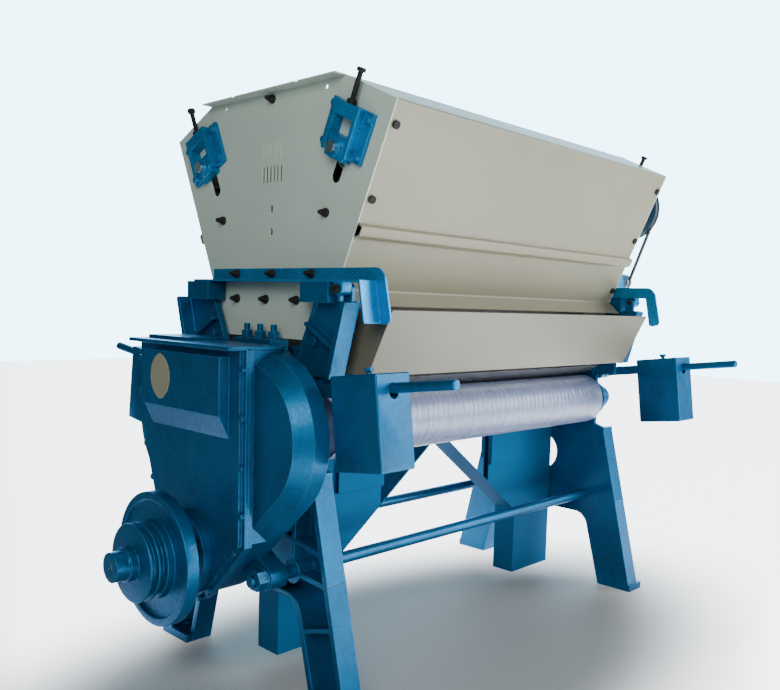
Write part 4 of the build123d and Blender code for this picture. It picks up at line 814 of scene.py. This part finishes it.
def folded_sheet(name, line, thickness, half, material, side=1, ripple=0.0, columns=60):
    """A folded sheet along X, from x = -half to half.

    The (y, z) line is rounded at its bends and cut into short runs. Its inner face lies a thickness to
    its left. Both faces bulge in and out together by ripple times sin(2 pi x / 0.7) sin(pi s), where s is
    the share of the line already passed, as thin sheet does between its fixings.
    """
    path = rounded(line, finish().sheet_bend)
    pieces = []
    for first, second in zip(path, path[1:]):
        count = max(2, int(np.linalg.norm(second - first) / 0.05) + 1)
        pieces.append(first + (second - first) * np.linspace(0, 1, count)[:-1, None])
    path = np.concatenate(pieces + [path[-1][None]])
    steps = np.gradient(path, axis=0)
    steps /= np.linalg.norm(steps, axis=1)[:, None]
    left = np.stack((-steps[:, 1], steps[:, 0]), axis=1)
    share = np.linspace(0, 1, len(path))
    x = np.linspace(-half, half, columns)
    swell = ripple * np.sin(2 * math.pi * x[None] / 0.7) * np.sin(math.pi * share)[:, None]
    loops = []
    for offset in (0.0, thickness):
        moved = path[:, None, :] + left[:, None, :] * (offset + swell + abs(ripple))[:, :, None]
        loops.append(
            np.stack((np.broadcast_to(x, moved.shape[:2]), side * moved[..., 0], moved[..., 1]), axis=-1)
        )
    points = np.concatenate((loops[0], loops[1][::-1]))
    rows = len(points)
    walls = grid_faces(rows, columns, close_rows=True)
    index = np.arange(rows)
    half_rows = rows // 2
    caps = []
    for column in (0, columns - 1):
        near = index[: half_rows - 1] * columns + column
        far = index[1:half_rows] * columns + column
        far_back = (rows - 1 - index[1:half_rows]) * columns + column
        near_back = (rows - 1 - index[: half_rows - 1]) * columns + column
        caps.append(np.stack((near, far, far_back, near_back), axis=-1))
    piece = surface(name, points, np.concatenate([walls] + caps), material)
    outwards(piece)
    sharpen(piece, 35)
    return piece


class GIN_OT_hopper(GinOperator):
    """Folds the hopper's front and back panels and paints its ends"""

    bl_idname = "gin.hopper"
    bl_label = "Hopper"

    def execute(self, context):
        low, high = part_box("hopper_side_panels")
        half = high[0]

        def slope(z):
            return 0.228 + 0.4563 * (z - 1.0)

        line = [
            (slope(1.143) + 0.047, 1.104), (slope(1.143), 1.143), (slope(1.279), 1.279),
            (slope(1.279) + 0.022, 1.283), (slope(1.309) + 0.022, 1.309), (slope(1.319), 1.319),
            (0.510, 1.618), (0.313, 1.708),
        ]
        front = folded_sheet("front_panel", line, 0.004, half, materials()["cream_paint"], -1, 0.0006)
        back = folded_sheet("back_panel", line, 0.004, half, materials()["cream_paint"], 1, 0.0006)
        settle(front, "hopper_side_panels")
        settle(back, "hopper_side_panels")
        for node in ("near_hopper_end", "far_hopper_end"):
            softened(node, 0)
        return {"FINISHED"}


class GIN_OT_hoods(GinOperator):
    """Finishes the lint hoods and their wing nuts"""

    bl_idname = "gin.hoods"
    bl_label = "Lint hoods"

    def execute(self, context):
        softened("lint_hoods", 0)
        softened("hood_wing_nuts", finish().small_edge * 0.7)
        softened("inspection_plate", finish().small_edge * 0.5)
        return {"FINISHED"}


class GIN_OT_feeder(GinOperator):
    """Finishes the feeder's rails, take-ups, rolls, aprons and drive"""

    bl_idname = "gin.feeder"
    bl_label = "Feeder"

    def execute(self, context):
        for node in (
            "tilt_rails", "take_up_frames", "feeder_bearings", "front_take_up_blocks", "back_take_up_blocks",
        ):
            softened(node, 0)
        dress(
            "aprons", "front_top_roll", "back_top_roll", "front_feed_roll", "back_feed_roll",
            "feeder_pulley", "feeder_belt", "feeder_jackshaft",
        )
        return {"FINISHED"}


class GIN_OT_sheetwork(GinOperator):
    """Finishes the seed chutes, grid, blades and knives"""

    bl_idname = "gin.sheetwork"
    bl_label = "Chutes, grid and knives"

    def execute(self, context):
        softened("seed_chutes", 0)
        dress("seed_grid", "beater_blades", "fixed_knives")
        return {"FINISHED"}


class GIN_OT_fasteners(GinOperator):
    """Finishes the bolts, nuts and tie rods"""

    bl_idname = "gin.fasteners"
    bl_label = "Fasteners"

    def execute(self, context):
        for node in ("frame_bolts", "tilt_pins", "hopper_bolts", "take_up_screws"):
            softened(node, finish().small_edge * 0.7)
        dress("tie_rods")
        return {"FINISHED"}


class GIN_PT_panel(bpy.types.Panel):
    """Sidebar panel that lists the gin's operators and settings"""

    bl_label = "Roller cotton gin"
    bl_idname = "GIN_PT_panel"
    bl_space_type = "VIEW_3D"
    bl_region_type = "UI"
    bl_category = "Gin"

    def draw(self, context):
        for operator in OPERATORS:
            self.layout.operator(operator.bl_idname)
        for group in (context.scene.gin_finish, context.scene.gin_stage):
            for name in group.bl_rna.properties.keys():
                if name not in ("rna_type", "name"):
                    self.layout.prop(group, name)


OPERATORS = (
    GIN_OT_stage,
    GIN_OT_castings,
    GIN_OT_weights,
    GIN_OT_drive,
    GIN_OT_rollers,
    GIN_OT_hopper,
    GIN_OT_hoods,
    GIN_OT_feeder,
    GIN_OT_sheetwork,
    GIN_OT_fasteners,
)
CLASSES = (GinFinish, GinStage) + OPERATORS + (GIN_PT_panel,)


def register():
    for item in CLASSES:
        bpy.utils.register_class(item)
    bpy.types.Scene.gin_finish = bpy.props.PointerProperty(type=GinFinish)
    bpy.types.Scene.gin_stage = bpy.props.PointerProperty(type=GinStage)


def unregister():
    del bpy.types.Scene.gin_finish
    del bpy.types.Scene.gin_stage
    for item in reversed(CLASSES):
        bpy.utils.unregister_class(item)


def main():
    register()
    for operator in OPERATORS:
        group, name = operator.bl_idname.split(".")
        getattr(getattr(bpy.ops, group), name)()


if __name__ == "__main__":
    main()
